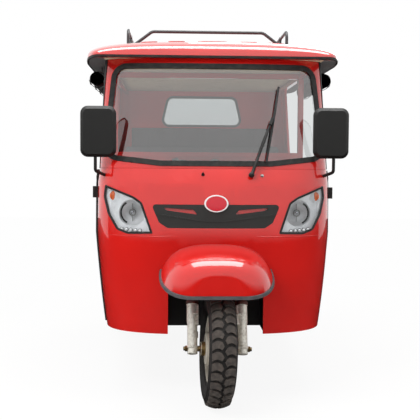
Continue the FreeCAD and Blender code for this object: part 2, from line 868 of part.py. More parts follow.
def roof_rack():
    """Welded tube rack for luggage."""
    pieces = []
    for side in (-1, 1):
        x = side * rack_half
        foot = roof_top_z(rack_half - rack_tube_radius, rack_front) + seat_gap
        hoop = ((x, rack_front, foot), (x, rack_front, rack_top_z), (x, rack_rear, rack_top_z), (x, rack_rear, foot))
        pieces.append(bent_tube(hoop, rack_tube_radius, 45.0))
        pieces.append(rod((x, rack_front, rack_floor_z), (x, rack_rear, rack_floor_z), rack_slat_radius))
        for share in (0.33, 0.67):
            y = rack_front + (rack_rear - rack_front) * share
            pieces.append(rod((x, y, foot), (x, y, rack_top_z), rack_slat_radius))
    for slat in range(rack_slats):
        y = rack_front + (rack_rear - rack_front) * slat / (rack_slats - 1)
        pieces.append(rod((-rack_half, y, rack_floor_z), (rack_half, y, rack_floor_z), rack_slat_radius - 1))
    for y in (rack_front, rack_rear):
        bar = ((-rack_bar_foot, y, rack_floor_z), (-rack_bar_half, y, rack_top_z - 12),
               (rack_bar_half, y, rack_top_z - 12), (rack_bar_foot, y, rack_floor_z))
        pieces.append(bent_tube(bar, rack_tube_radius, 50.0))
    return pieces[0].multiFuse(pieces[1:])


def cabin_outline(height, half, rear, inset, front):
    """Plan outline of the rear cabin, square in front with rounded rear corners."""
    radius = cabin_corner - inset
    half = half - inset
    rear = rear - inset
    arc_offset = radius * (1 - math.sqrt(0.5))
    start = V(half, front, height)
    first = V(half, rear - radius, height)
    middle = V(half - arc_offset, rear - arc_offset, height)
    last = V(half - radius, rear, height)
    flip = lambda point: V(-point.x, point.y, point.z)
    edges = [
        Part.LineSegment(start, first).toShape(), Part.Arc(first, middle, last).toShape(),
        Part.LineSegment(last, flip(last)).toShape(), Part.Arc(flip(last), flip(middle), flip(first)).toShape(),
        Part.LineSegment(flip(first), flip(start)).toShape(), Part.LineSegment(flip(start), start).toShape(),
    ]
    return Part.Wire(edges)


def cabin_solid(inset, front):
    """The rear cabin as a full solid."""
    low = cabin_outline(cabin_bottom_z, cabin_half_low, cabin_rear_low, inset, front)
    waist = cabin_outline(cabin_waist_z, cabin_half_waist, cabin_rear_waist, inset, front)
    top = cabin_outline(header_z, cabin_half_top, cabin_rear_top, inset, front)
    lower = Part.makeLoft([low, waist], True, True)
    return lower.fuse(Part.makeLoft([waist, top], True, True))


def cabin_shell():
    """Walls of the rear cabin, open in front."""
    return cabin_solid(0.0, quarter_front).cut(cabin_solid(cabin_wall, quarter_front - 50))


def panel_split_y():
    """Seam between the quarter panels and the rear panel."""
    return cabin_rear_top - cabin_corner


def quarter_panel(side):
    """Side wall with its wheel arch and a wide rear pillar."""
    profile = (
        (quarter_front, cabin_bottom_z - 20), (panel_split_y(), cabin_bottom_z - 20),
        (panel_split_y(), header_z + 20), (c_pillar_front + 70, header_z + 20), (c_pillar_front, belt_z),
        (quarter_front, belt_z - 40),
    )
    corners = [V(300 if side > 0 else -800, y, z) for y, z in profile]
    blank = prism(Part.makePolygon(corners + corners[:1]), (500, 0, 0))
    arch = Part.makeCylinder(arch_radius, 1700, V(-850, wheelbase, axle_z), V(1, 0, 0))
    return cabin_shell().common(blank).cut(arch)


def rear_window_wire(y, offset=0.0):
    """Rear window in front view."""
    points = (
        (-rear_window_bottom_half, rear_window_bottom_z), (rear_window_bottom_half, rear_window_bottom_z),
        (rear_window_top_half, rear_window_top_z), (-rear_window_top_half, rear_window_top_z),
    )
    wire = rounded_wire(points, rear_window_corner, front_view(y))
    return wire.makeOffset2D(offset) if offset else wire


def rear_panel():
    """Back wall that wraps round both corners, with its window and the plate's two screw holes."""
    keep = box(-800, 800, panel_split_y() + seat_gap, 2800, 0, 2000)
    panel = cabin_shell().common(keep).cut(prism(rear_window_wire(2400, 18.0), (0, 300, 0)))
    for side in (-1, 1):
        x = side * plate_hole_spacing / 2
        panel = panel.cut(rod((x, 2450, plate_z), (x, 2700, plate_z), plate_hole_radius))
    return panel


def rear_window_seal():
    """Rubber frame of the rear window."""
    start = 2400
    ring = prism(rear_window_wire(start, 18.0 - seat_gap), (0, 300, 0)).cut(prism(rear_window_wire(start), (0, 300, 0)))
    wall = cabin_solid(-3.0, quarter_front).cut(cabin_solid(cabin_wall + 3, quarter_front - 50))
    return wall.common(ring)


def rear_window_glass():
    """Rear pane."""
    wall = cabin_solid(5.0, quarter_front).cut(cabin_solid(10.0, quarter_front - 50))
    return wall.common(prism(rear_window_wire(2400, -seat_gap), (0, 300, 0)))


def cab_frame():
    """Roof rails, middle pillars and cross rails of square tube."""
    inner_x = header_half - pillar_width
    rail_start = header_rear + seat_gap
    rail_end = cabin_rear_top - cabin_corner + 40
    pieces = []
    for side in (-1, 1):
        x0, x1 = sorted((side * inner_x, side * header_half))
        pieces.append(box(x0, x1, rail_start, rail_end, header_z - pillar_width, header_z))
        pieces.append(box(x0, x1, b_pillar_y, b_pillar_y + pillar_depth, floor_z, header_z))
    for z in (partition_top_z + 60, header_z - pillar_width):
        pieces.append(box(-inner_x, inner_x, b_pillar_y, b_pillar_y + pillar_width, z, z + pillar_width))
    return fused(pieces)


def partition():
    """Low wall behind the driver."""
    half = header_half - pillar_width - seat_gap
    y0 = b_pillar_y + 6
    wall = box(-half, half, y0, y0 + partition_thickness, floor_z, partition_top_z + 60)
    return wall


def driver_seat_base():
    """Sheet box over the engine."""
    outer = box(-seat_base_half, seat_base_half, seat_base_front, b_pillar_y + 6 - seat_gap, floor_z, seat_base_top_z)
    half = seat_base_half - sheet_thickness
    inner = box(-half, half, seat_base_front + sheet_thickness, b_pillar_y - 6, 0, seat_base_top_z - sheet_thickness)
    return outer.cut(inner)


def soft_block(x1, y0, y1, z0, z1, radius):
    """A plain padded block with rounded edges."""
    block = box(-x1, x1, y0, y1, z0, z1)
    return block.makeFillet(radius, block.Edges)


def driver_cushion():
    """Driver's seat pad."""
    z0 = seat_base_top_z + seat_gap
    return soft_block(driver_half, driver_front, driver_cushion_rear, z0, z0 + cushion_thickness, pad_radius)


def driver_backrest():
    """Driver's back pad against the partition."""
    z0 = seat_base_top_z + cushion_thickness + back_lift
    return soft_block(driver_half, driver_back_front, b_pillar_y + 6 - seat_gap, z0, driver_back_top_z, pad_radius)


def bench_base():
    """Sheet box that carries the passenger bench over the rear axle."""
    bottom = rail_bottom_z + rail_height + rail_kick
    front_y = bench_front + 20
    half = bench_base_half
    sheet = sheet_thickness
    outer = box(-half, half, front_y, bench_base_rear, bottom, bench_base_top_z)
    inner = box(sheet - half, half - sheet, front_y + sheet, bench_base_rear - sheet, bottom - 10,
                bench_base_top_z - sheet)
    deck = box(-bench_half, bench_half, front_y, bench_base_rear, bench_base_top_z - sheet, bench_base_top_z)
    step = box(-half, half, front_y, front_y + sheet, floor_z - floor_thickness, bottom)
    step = step.cut(frame_rail()).cut(mirrored(frame_rail()))
    return fused([outer.cut(inner), deck, step])


def bench_cushion():
    """Passenger seat pad."""
    z0 = bench_base_top_z + seat_gap
    return soft_block(bench_half, bench_front, bench_cushion_rear, z0, z0 + cushion_thickness, pad_radius)


def bench_backrest():
    """Passenger back pad on the rear shelf."""
    z0 = bench_base_top_z + seat_gap
    return soft_block(bench_half, bench_back_front, bench_back_front + back_thickness, z0, bench_back_top_z, pad_radius)


def dashboard():
    """Shelf under the windscreen with a round instrument."""
    shelf = box(-600, 600, 100, dash_rear, shoulder_z + 4, scuttle_z - 8)
    shelf = shelf.common(front_solid(cowl_bands, cowl_wall + seat_gap, 60.0))
    return shelf.cut(steered(Part.makeCylinder(stem_radius + 8, 1200), 0.0)).Solids[0]


def rolled_curtains():
    """Side curtains rolled up under the eaves."""
    return pair(rod((roll_x, roll_front, roll_z), (roll_x, roll_rear, roll_z), roll_radius))


def curtain_straps():
    """Webbing loops that hang the curtain rolls from the headlining."""
    loops = []
    for share in (0.08, 0.5, 0.92):
        y = roll_front + (roll_rear - roll_front) * share
        ring_radius = roll_radius + seat_gap + strap_thickness
        ring = rod((roll_x, y, roll_z), (roll_x, y + strap_width, roll_z), ring_radius)
        tab = box(roll_x - 25, roll_x - 25 + strap_thickness, y, y + strap_width, roll_z, header_z)
        bore = rod((roll_x, y - 5, roll_z), (roll_x, y + strap_width + 5, roll_z), roll_radius + seat_gap)
        loops.append(pair(ring.fuse(tab).cut(bore)))
    return Part.makeCompound(loops)


def tyre(half_width):
    """Plain tyre, a C in section, out to the tips of its tread; the axle is the X axis."""
    shoulder_r = tyre_radius - tread_crown_drop
    wall = tyre_wall
    outer_bead = V(bead_half_width, bead_radius, 0)
    outer_heel = V(bead_half_width, bead_radius + bead_height, 0)
    outer_side = V(half_width, 0.5 * (bead_radius + bead_height + shoulder_r), 0)
    outer_shoulder = V(tread_half_width, shoulder_r, 0)
    inner_bead = V(bead_half_width - wall, bead_radius, 0)
    inner_side = V(half_width - wall, 0.5 * (bead_radius + shoulder_r), 0)
    inner_shoulder = V(tread_half_width - wall, shoulder_r - wall, 0)
    flip = lambda point: V(-point.x, point.y, 0)
    edges = [
        Part.LineSegment(outer_bead, outer_heel).toShape(),
        Part.Arc(outer_heel, outer_side, outer_shoulder).toShape(),
        Part.Arc(outer_shoulder, V(0, tyre_radius, 0), flip(outer_shoulder)).toShape(),
        Part.Arc(flip(outer_shoulder), flip(outer_side), flip(outer_heel)).toShape(),
        Part.LineSegment(flip(outer_heel), flip(outer_bead)).toShape(),
        Part.LineSegment(flip(outer_bead), flip(inner_bead)).toShape(),
        Part.Arc(flip(inner_bead), flip(inner_side), flip(inner_shoulder)).toShape(),
        Part.Arc(flip(inner_shoulder), V(0, tyre_radius - wall, 0), inner_shoulder).toShape(),
        Part.Arc(inner_shoulder, inner_side, inner_bead).toShape(),
        Part.LineSegment(inner_bead, outer_bead).toShape(),
    ]
    return Part.Face(Part.Wire(edges)).revolve(V(0, 0, 0), V(1, 0, 0), 360)


def rim_barrel():
    """Rolled steel rim between its two flanges."""
    half = bead_half_width + seat_gap + rim_wall
    seat = bead_radius - seat_gap
    well = seat - 22
    profile = (
        (-half, seat + rim_flange), (-half + rim_wall, seat + rim_flange), (-half + rim_wall, seat),
        (-20, seat - 2), (-14, well), (14, well), (20, seat - 2), (half - rim_wall, seat),
        (half - rim_wall, seat + rim_flange), (half, seat + rim_flange), (half, seat - rim_wall),
        (24, seat - 2 - rim_wall), (18, well - rim_wall), (-18, well - rim_wall), (-24, seat - 2 - rim_wall),
        (-half, seat - rim_wall),
    )
    corners = [V(x, r, 0) for x, r in profile]
    return Part.Face(Part.makePolygon(corners + corners[:1])).revolve(V(0, 0, 0), V(1, 0, 0), 360)


def front_rim():
    """Front wheel with its hub drum, disc and bore."""
    well = bead_radius - seat_gap - 22 - rim_wall
    disc = Part.makeCylinder(well + 2, wheel_disc_thickness, V(-3, 0, 0), V(1, 0, 0))
    holes = [Part.makeCylinder(17, 40, V(-20, 0, 108), V(1, 0, 0)) for hole in range(8)]
    for index, hole in enumerate(holes):
        hole.rotate(V(0, 0, 0), V(1, 0, 0), 360 * index / len(holes))
        disc = disc.cut(hole)
    hub = Part.makeCylinder(34, 172, V(-86, 0, 0), V(1, 0, 0))
    drum = Part.makeCylinder(78, 60, V(-62, 0, 0), V(1, 0, 0))
    wheel = fused([rim_barrel(), disc, hub, drum])
    return wheel.cut(Part.makeCylinder(hub_bore_radius, 400, V(-200, 0, 0), V(1, 0, 0)))


def rear_rim():
    """Rear wheel of pressed steel, dished outwards, with its bolted hub."""
    well = bead_radius - seat_gap - 22 - rim_wall
    disc = Part.makeCylinder(well + 2, wheel_disc_thickness, V(4, 0, 0), V(1, 0, 0))
    for index in range(8):
        hole = Part.makeCylinder(15, 40, V(-10, 0, 102), V(1, 0, 0))
        hole.rotate(V(0, 0, 0), V(1, 0, 0), 45 * index)
        disc = disc.cut(hole)
    hub = Part.makeCylinder(hub_radius, 68, V(-30, 0, 0), V(1, 0, 0))
    flange = Part.makeCylinder(lug_circle_radius + 16, 10, V(10, 0, 0), V(1, 0, 0))
    wheel = fused([rim_barrel(), disc, hub, flange])
    for index in range(lug_count):
        hole = Part.makeCylinder(lug_hole_radius, 60, V(-30, 0, lug_circle_radius), V(1, 0, 0))
        hole.rotate(V(0, 0, 0), V(1, 0, 0), 360 * (index + 0.5) / lug_count)
        wheel = wheel.cut(hole)
    return wheel.cut(Part.makeCylinder(stub_radius + seat_gap, 60, V(-40, 0, 0), V(1, 0, 0)))


def front_wheel_place(shape):
    """Puts a front wheel piece between the fork legs at rest."""
    moved = shape.copy()
    moved.translate(V(0, -fork_offset, 0))
    return steered(moved, rest_steer)


def rear_wheel_place(shape, side):
    """Puts a rear wheel piece at its end of the axle, dish outwards."""
    moved = shape.copy()
    if side < 0:
        moved = mirrored(moved)
    moved.translate(V(side * rear_track / 2, wheelbase, axle_z))
    return moved


def fork_crown():
    """Lower yoke, stem and column of the steering."""
    half = leg_spacing / 2
    yoke = Part.makeBox(2 * half, 2 * 34, crown_height, V(-half, -fork_offset - 20, crown_at - crown_height / 2))
    pieces = [yoke]
    for side in (-1, 1):
        clamp = Part.makeCylinder(stanchion_radius + 14, crown_height,
                                  V(side * half, -fork_offset, crown_at - crown_height / 2))
        pieces.append(clamp)
    pieces.append(Part.makeCylinder(stem_radius, head_tube_length + column_length, V(0, 0, crown_at)))
    crown = fused(pieces)
    for side in (-1, 1):
        bore = Part.makeCylinder(stanchion_radius, crown_height + 2,
                                 V(side * half, -fork_offset, crown_at - crown_height / 2 - 1))
        crown = crown.cut(bore)
    return steered(crown, rest_steer)


def fork_stanchions():
    """Chromed inner tubes."""
    tubes = []
    for side in (-1, 1):
        start = slider_length - 30
        length = crown_at + crown_height / 2 + 12 - start
        tubes.append(Part.makeCylinder(stanchion_radius, length, V(side * leg_spacing / 2, -fork_offset, start)))
    return steered(Part.makeCompound(tubes), rest_steer)


def fork_sliders():
    """Cast aluminium lower legs with their axle lugs."""
    legs = []
    for side in (-1, 1):
        x = side * leg_spacing / 2
        lower = Part.makeCylinder(slider_radius, slider_length - 120, V(x, -fork_offset, -26))
        collar = Part.makeCone(slider_radius, slider_top_radius, 16, V(x, -fork_offset, slider_length - 146))
        upper = Part.makeCylinder(slider_top_radius, 100, V(x, -fork_offset, slider_length - 130))
        seal = Part.makeCylinder(slider_top_radius + 3, 14, V(x, -fork_offset, slider_length - 44))
        leg = fused([lower, collar, upper, seal])
        leg = leg.cut(Part.makeCylinder(stanchion_radius, 80, V(x, -fork_offset, slider_length - 30)))
        leg = leg.cut(Part.makeCylinder(axle_radius, 400, V(-200, -fork_offset, 0), V(1, 0, 0)))
        legs.append(leg)
    return steered(Part.makeCompound(legs), rest_steer)


def front_axle():
    """Through axle with a nut at each end."""
    half = leg_spacing / 2 + slider_radius
    bar = Part.makeCylinder(axle_radius, 2 * half + 40, V(-half - 20, -fork_offset, 0), V(1, 0, 0))
    nuts = [bar]
    for x in (-half - 12, half):
        nuts.append(hexagon(x, 12.0, 15.0))
    return steered(fused(nuts), rest_steer)


def hexagon(x, thickness, radius):
    """A nut across the axle."""
    points = []
    for corner in range(7):
        angle = math.radians(60 * corner)
        points.append(V(x, -fork_offset + radius * math.cos(angle), radius * math.sin(angle)))
    return prism(Part.makePolygon(points), (thickness, 0, 0))


def handlebar():
    """Swept bar on top of the column."""
    top = crown_at + head_tube_length + column_length
    points = (
        (-handlebar_half_width, handlebar_sweep, top + handlebar_rise - 12),
        (-170, 30, top + handlebar_rise), (-70, 0, top), (70, 0, top),
        (170, 30, top + handlebar_rise), (handlebar_half_width, handlebar_sweep, top + handlebar_rise - 12),
    )
    bar = bent_tube(points, handlebar_radius, 45.0)
    clamp = box(-34, 34, -24, 24, top - 26, top + 20)
    stem = Part.makeCylinder(stem_radius, crown_at + head_tube_length + column_length + 1)
    return steered(bar.fuse(clamp).cut(stem), rest_steer)


def grips():
    """Rubber sleeves on the bar ends."""
    top = crown_at + head_tube_length + column_length
    end = V(handlebar_half_width, handlebar_sweep, top + handlebar_rise - 12)
    along = (end - V(170, 30, top + handlebar_rise)).normalize()
    sleeve = Part.makeCylinder(grip_radius, grip_length, end - along * (grip_length - 6), along)
    sleeve = sleeve.cut(Part.makeCylinder(handlebar_radius, grip_length, end - along * grip_length, along))
    return steered(pair(sleeve), rest_steer)


def rear_axle():
    """Live axle tube with its differential case, drums and stubs."""
    tube = rod((-axle_tube_half, wheelbase, axle_z), (axle_tube_half, wheelbase, axle_z), axle_tube_radius)
    swell = Part.Arc(V(-case_half, 20, 0), V(0, case_radius, 0), V(case_half, 20, 0)).toShape()
    base = Part.makePolygon([V(case_half, 20, 0), V(case_half, 10, 0), V(-case_half, 10, 0), V(-case_half, 20, 0)])
    case = Part.Face(Part.Wire([swell] + base.Edges)).revolve(V(0, 0, 0), V(1, 0, 0), 360)
    case.translate(V(0, wheelbase, axle_z))
    cover = rod((0, wheelbase - 150, axle_z), (0, wheelbase - 60, axle_z), 52)
    pieces = [tube, case, cover]
    for side in (-1, 1):
        inner = side * axle_tube_half
        pieces.append(rod((inner - side * drum_width / 2, wheelbase, axle_z),
                          (inner + side * drum_width, wheelbase, axle_z), drum_radius))
        end = side * (rear_track / 2 + 10)
        pieces.append(rod((inner, wheelbase, axle_z), (end, wheelbase, axle_z), stub_radius))
    return fused(pieces)


def spring_leaf_strip(span, lift):
    """One bowed leaf, drawn as an arc in side view."""
    sag = spring_camber * (span / spring_span) ** 2
    base_z = axle_z + axle_tube_radius + lift
    half = span / 2
    low = [V(spring_x - spring_width / 2, wheelbase + y, base_z + z)
           for y, z in ((-half, sag), (0, 0), (half, sag))]
    high = [point + V(0, 0, spring_leaf) for point in low]
    wire = Part.Wire([
        Part.Arc(low[0], low[1], low[2]).toShape(), Part.LineSegment(low[2], high[2]).toShape(),
        Part.Arc(high[2], high[1], high[0]).toShape(), Part.LineSegment(high[0], low[0]).toShape(),
    ])
    return prism(wire, (spring_width, 0, 0))


def leaf_springs():
    """Stacked leaves over the axle, hung from the frame at both ends."""
    leaves = []
    for index in range(spring_leaves):
        span = spring_span * (1 - 0.2 * (spring_leaves - 1 - index))
        leaves.append(spring_leaf_strip(span, index * spring_leaf))
    eye_z = axle_z + axle_tube_radius + spring_leaves * spring_leaf + spring_camber - 6
    x0 = spring_x - spring_width / 2
    x1 = spring_x + spring_width / 2
    front = wheelbase - spring_span / 2
    rear = wheelbase + spring_span / 2
    for y in (front, rear):
        leaves.append(rod((x0, y, eye_z), (x1, y, eye_z), spring_eye_radius))
    rail_x = rail_inner_x + rail_width
    leaves.append(box(rail_x, x0 + 8, front - 18, front + 18, eye_z - 14, rail_bottom_z + rail_height - 4))
    leaves.append(box(rail_x, x0 + 8, rear - 18, rear + 18, eye_z - 14, rail_bottom_z + rail_kick + 26))
    return pair(fused(leaves))


def shock_absorbers():
    """Telescopic dampers from the axle to the frame."""
    low_z = axle_z + axle_tube_radius
    high_z = rail_bottom_z + rail_kick - shock_eye_radius - seat_gap
    low = (shock_x, wheelbase + 40, low_z)
    high = (shock_x, wheelbase + 190, high_z)
    middle = tuple((a + b) / 2 for a, b in zip(low, high))
    pieces = [rod(low, middle, shock_radius), rod(middle, high, 9.0)]
    for x, y, z in (low, high):
        pieces.append(rod((x - 14, y, z), (x + 14, y, z), shock_eye_radius))
    return pair(fused(pieces).cut(rear_axle()))


def engine():
    """Engine and gearbox as one plain block under the driver's seat."""
    block = box(-200, 200, seat_base_front + 40, partition_y - 60, 250, 640)
    mounts = [block]
    for side in (-1, 1):
        x0, x1 = sorted((side * 199, side * rail_inner_x))
        mounts.append(box(x0, x1, 900, 960, rail_bottom_z, rail_bottom_z + rail_height))
    return fused(mounts)


def prop_shaft():
    """Shaft from the gearbox to the differential."""
    start_y = partition_y - 60 + seat_gap
    end_y = wheelbase - 150 - seat_gap
    start_z = axle_z + 25
    front = rod((0, start_y, start_z), (0, start_y + yoke_length, start_z), yoke_radius)
    rear = rod((0, end_y - yoke_length, axle_z), (0, end_y, axle_z), yoke_radius)
    shaft = rod((0, start_y + 30, start_z), (0, end_y - 30, axle_z), prop_radius)
    return fused([front, shaft, rear])


def fuel_tank():
    """Welded tank between the frame rails."""
    tank = box(-rail_inner_x + seat_gap, -70, 1260, 1590, 250, floor_z - floor_thickness - seat_gap)
    edges = [edge for edge in tank.Edges if edge.BoundBox.ZMax < 260]
    return tank.makeFillet(30.0, edges)


def exhaust():
    """Pipe and silencer along the underside."""
    points = ((150, partition_y - 100, 300), (150, 1420, 300), (190, 1500, 262), (190, 1660, 262))
    pipe = bent_tube(points, 18.0, 60.0)
    silencer = rod((190, 1640, 262), (190, 1900, 262), 55.0)
    tail = rod((190, 1880, 240), (190, 1990, 240), 14.0)
    hanger = box(184, 196, 1610 + 50, 1610 + 62, 300, rail_bottom_z + 20)
    strap = box(184, rail_inner_x, 1610 + 50, 1610 + 62, rail_bottom_z + 8, rail_bottom_z + 20)
    return fused([pipe, silencer, tail, hanger, strap]).cut(engine())


def rear_arches():
    """Inner mudguards over the rear wheels, seated on the quarter panels."""
    inner_x = bench_base_half + 16
    ring = Part.makeCylinder(arch_radius + 4, 250, V(inner_x + 4, wheelbase, axle_z), V(1, 0, 0))
    ring = ring.cut(Part.makeCylinder(arch_radius, 300, V(inner_x - 20, wheelbase, axle_z), V(1, 0, 0)))
    cap = Part.makeCylinder(arch_radius + 4, 4, V(inner_x, wheelbase, axle_z), V(1, 0, 0))
    keep = box(inner_x - 20, 800, wheelbase - 400, wheelbase + 400, 420, bench_base_top_z)
    arch_panel = ring.fuse(cap).common(keep)
    return pair(arch_panel.common(cabin_solid(cabin_wall + seat_gap, quarter_front - 60)))


def tail_lamps():
    """Red rear lamp blocks."""
    y = 2500.0
    block = box(500, 590, y, 2600, 720, 900)
    block = block.makeFillet(14.0, [edge for edge in block.Edges if edge.BoundBox.YLength > 50])
    lamp = block.cut(cabin_solid(0.0, quarter_front)).common(box(400, 700, 2500, 2592, 600, 1000))
    return pair(lamp)


def rear_bumper():
    """Tube bumper on two brackets."""
    rear_end = overall_length - tyre_radius
    y = rear_end - 22
    z = rail_bottom_z + rail_kick + rail_height / 2
    tip = y - 48
    bar = bent_tube(((-580, tip, z), (-510, y, z), (510, y, z), (580, tip, z)), 22.0, 60.0)
    pieces = [bar]
    for side in (-1, 1):
        x0, x1 = sorted((side * rail_inner_x, side * (rail_inner_x + rail_width)))
        pieces.append(box(x0, x1, rail_rear(), y, z - 15, z + 15).cut(cabin_solid(0.0, quarter_front)))
    return fused(pieces)


def tyres_and_rims():
    """Wheel pieces by node name."""
    nodes = {
        "front_tyre": front_wheel_place(tyre(tyre_half_width)),
        "front_rim": front_wheel_place(front_rim()),
    }
    for name, side in (("left", 1), ("right", -1)):
        nodes["rear_tyre_" + name] = rear_wheel_place(tyre(tyre_half_width), side)
        nodes["rear_rim_" + name] = rear_wheel_place(rear_rim(), side)
    return nodes


def all_nodes():
    """Every sub-part by its node name, in the modelling frame."""
    nodes = {
        "front_cowl": front_cowl(), "screen_frame": screen_frame(), "snout": snout(), "snout_lip": snout_lip(),
        "window_seals": Part.makeCompound([screen_seal(), rear_window_seal()]),
        "window_glass": Part.makeCompound([screen_glass(), rear_window_glass()]),
        "wheel_well": wheel_well(), "chassis_frame": chassis_frame(), "floor_pan": floor_pan(),
        "sill_panels": sill_panels(), "cowl_trims": Part.makeCompound([edge_trims(), side_clips()]),
        "headlamp_housings": headlamp_housings(), "headlamp_reflectors": headlamp_reflectors(),
        "headlamp_lenses": headlamp_lenses(), "grille": grille(), "emblem_disc": emblem(),
        "mirrors": Part.makeCompound([mirror_arms(), mirror_housings()]), "mirror_glasses": mirror_glasses(),
        "wiper": wiper(), "roof_panel": roof_panel(), "roof_lining": roof_lining(), "drip_edge": drip_edge_trim(),
        "roof_rack": roof_rack(), "quarter_panels": Part.makeCompound([quarter_panel(1), quarter_panel(-1)]),
        "rear_panel": rear_panel(), "cab_frame": cab_frame(), "partition": partition(),
        "seat_bases": Part.makeCompound([driver_seat_base(), bench_base()]),
        "driver_seat": Part.makeCompound([driver_cushion(), driver_backrest()]),
        "bench_seat": Part.makeCompound([bench_cushion(), bench_backrest()]), "dashboard": dashboard(),
        "rolled_curtains": rolled_curtains(), "curtain_straps": curtain_straps(),
        "fork_crown": fork_crown(), "fork_stanchions": fork_stanchions(), "fork_sliders": fork_sliders(),
        "front_axle": front_axle(), "handlebar": handlebar(), "grips": grips(),
        "rear_axle": rear_axle(), "rear_suspension": Part.makeCompound([leaf_springs(), shock_absorbers()]),
        "engine": engine(), "prop_shaft": prop_shaft(), "fuel_tank": fuel_tank(), "exhaust": exhaust(),
        "rear_arches": rear_arches(), "tail_lamps": tail_lamps(), "rear_bumper": rear_bumper(),
    }
    nodes.update(tyres_and_rims())
    return nodes


os.makedirs("parts", exist_ok=True)
front_axle_y = tyre_radius - overall_length / 2
for node_name, node_shape in all_nodes().items():
    placed = node_shape.copy()
    placed.translate(V(0, front_axle_y, tyre_radius - axle_z))
    placed.exportStep("parts/" + node_name + ".step")
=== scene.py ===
"""Auto rickshaw: the finishes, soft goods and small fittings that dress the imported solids."""

import json
import math

import bmesh
import bpy
from mathutils import Matrix, Vector, noise
from mathutils.bvhtree import BVHTree


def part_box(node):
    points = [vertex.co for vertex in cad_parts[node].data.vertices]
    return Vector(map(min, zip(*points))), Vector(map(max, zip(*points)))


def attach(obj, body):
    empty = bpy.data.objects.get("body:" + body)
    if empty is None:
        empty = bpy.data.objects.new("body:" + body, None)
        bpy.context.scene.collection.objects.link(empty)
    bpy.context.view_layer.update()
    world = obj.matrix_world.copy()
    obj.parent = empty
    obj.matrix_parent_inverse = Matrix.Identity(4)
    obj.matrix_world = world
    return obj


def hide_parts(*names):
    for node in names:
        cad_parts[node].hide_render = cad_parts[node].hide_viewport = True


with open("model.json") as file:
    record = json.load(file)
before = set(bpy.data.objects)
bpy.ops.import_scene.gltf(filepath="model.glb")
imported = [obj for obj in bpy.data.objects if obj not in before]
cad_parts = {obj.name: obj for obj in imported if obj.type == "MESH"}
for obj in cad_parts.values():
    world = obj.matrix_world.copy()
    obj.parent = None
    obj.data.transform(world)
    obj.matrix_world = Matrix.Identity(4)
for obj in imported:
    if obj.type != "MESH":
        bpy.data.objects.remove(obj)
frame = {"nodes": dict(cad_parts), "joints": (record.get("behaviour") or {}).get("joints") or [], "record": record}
NODES = frame["nodes"]
JOINTS = {joint["name"]: joint for joint in frame["joints"]}
BODY_OF = {node: body for body, nodes in frame["record"]["behaviour"]["bodies"].items() for node in nodes}
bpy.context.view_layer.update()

bl_info = {
    "name": "Auto rickshaw finishes",
    "version": (1, 0, 0),
    "blender": (4, 5, 0),
    "location": "3D View > Sidebar > Rickshaw",
    "description": "Dresses a three-wheeled passenger tricycle with its finishes and fittings",
    "category": "Object",
}

# Sizes and places, in millimetres
MM = 0.001
AXLE_Y = -1181.0  # the front axle in the frame
REAR_AXLE = 2080.0  # this and the fronts below are measured back from the front axle
TYRE_RADIUS = 290.0
TREAD_DEPTH = 10.0
TREAD_BLOCKS = 35
FORK_LEG = 126.0  # from the middle of the fork to a leg
LAMP_CORNERS = (
    (582, 1096), (430, 1039), (384, 1009), (326, 850), (458, 845), (516, 865), (566, 945), (590, 1034))
LAMP_BOWL = Vector((435.0, 952.0))
EMBLEM = (62.0, 44.0, 1006.0)  # half width, half height and height above the ground
BENCH_SEAMS = (-393, -197, 0, 197, 393)
ROLL_X, ROLL_Z, ROLL_FRONT, ROLL_WIDTH = 672.0, 1708.0, 880.0, 800.0
STRAPS = [ROLL_FRONT + ROLL_WIDTH * share + 15 for share in (0.08, 0.5, 0.92)]
RACK_FRONT, RACK_LENGTH, RACK_LOW, RACK_TOP = 1400.0, 1000.0, 1989.0, 2080.0
SPRING_X = 395.0
HERE = Matrix.Identity(4)
WHITE = (1, 1, 1, 1)


# Small tools for nodes

def linear(code):
    """An sRGB hex colour as linear RGBA."""
    values = [int(code[i:i + 2], 16) / 255 for i in (1, 3, 5)]
    return [v / 12.92 if v <= 0.04045 else ((v + 0.055) / 1.055) ** 2.4 for v in values] + [1.0]


def shaded(code, share):
    """A hex colour as linear RGBA, darkened to a share of its light."""
    return [v * share for v in linear(code)[:3]] + [1.0]


def add(tree, kind, given=None):
    """A node with its settings, by input or attribute name, where a setting that is a socket is linked."""
    node = tree.nodes.new(kind)
    for name, value in (given or {}).items():
        if isinstance(value, bpy.types.NodeSocket):
            tree.links.new(value, node.inputs[name])
        elif isinstance(name, int) or name in node.inputs:
            node.inputs[name].default_value = value
        else:
            setattr(node, name, value)
    return node


def pattern(tree, size, detail=4.0, roughness=0.55):
    """Noise on object coordinates whose grains are size metres across."""
    place = add(tree, "ShaderNodeTexCoord").outputs["Object"]
    given = {"Scale": 1 / size, "Detail": detail, "Roughness": roughness, "Vector": place}
    return add(tree, "ShaderNodeTexNoise", given).outputs["Fac"]


def spread(tree, factor, low, high, first, second):
    """Colours or values that run from first to second as the factor goes from low to high."""
    ramp = add(tree, "ShaderNodeValToRGB", {"Fac": factor})
    for stop, where, value in zip(ramp.color_ramp.elements, (low, high), (first, second)):
        stop.position = where
        stop.color = value if isinstance(value, list) else (value, value, value, 1.0)
    return ramp.outputs["Color"]


def mottled(tree, size, low, high, first, second, detail=4.0, roughness=0.55):
    """Colours or values that run from first to second in patches of size metres."""
    return spread(tree, pattern(tree, size, detail, roughness), low, high, first, second)


def surface(tree, colour, roughness, relief, height, strength=0.5, **fixed):
    """The Principled shader with a relief, and its output. Colour and roughness are a value or a socket."""
    bump = add(tree, "ShaderNodeBump", {"Strength": strength, "Distance": height, "Height": relief})
    given = {"Base Color": colour, "Roughness": roughness, "Normal": bump.outputs["Normal"], **fixed}
    shader = add(tree, "ShaderNodeBsdfPrincipled", given)
    add(tree, "ShaderNodeOutputMaterial", {"Surface": shader.outputs["BSDF"]})


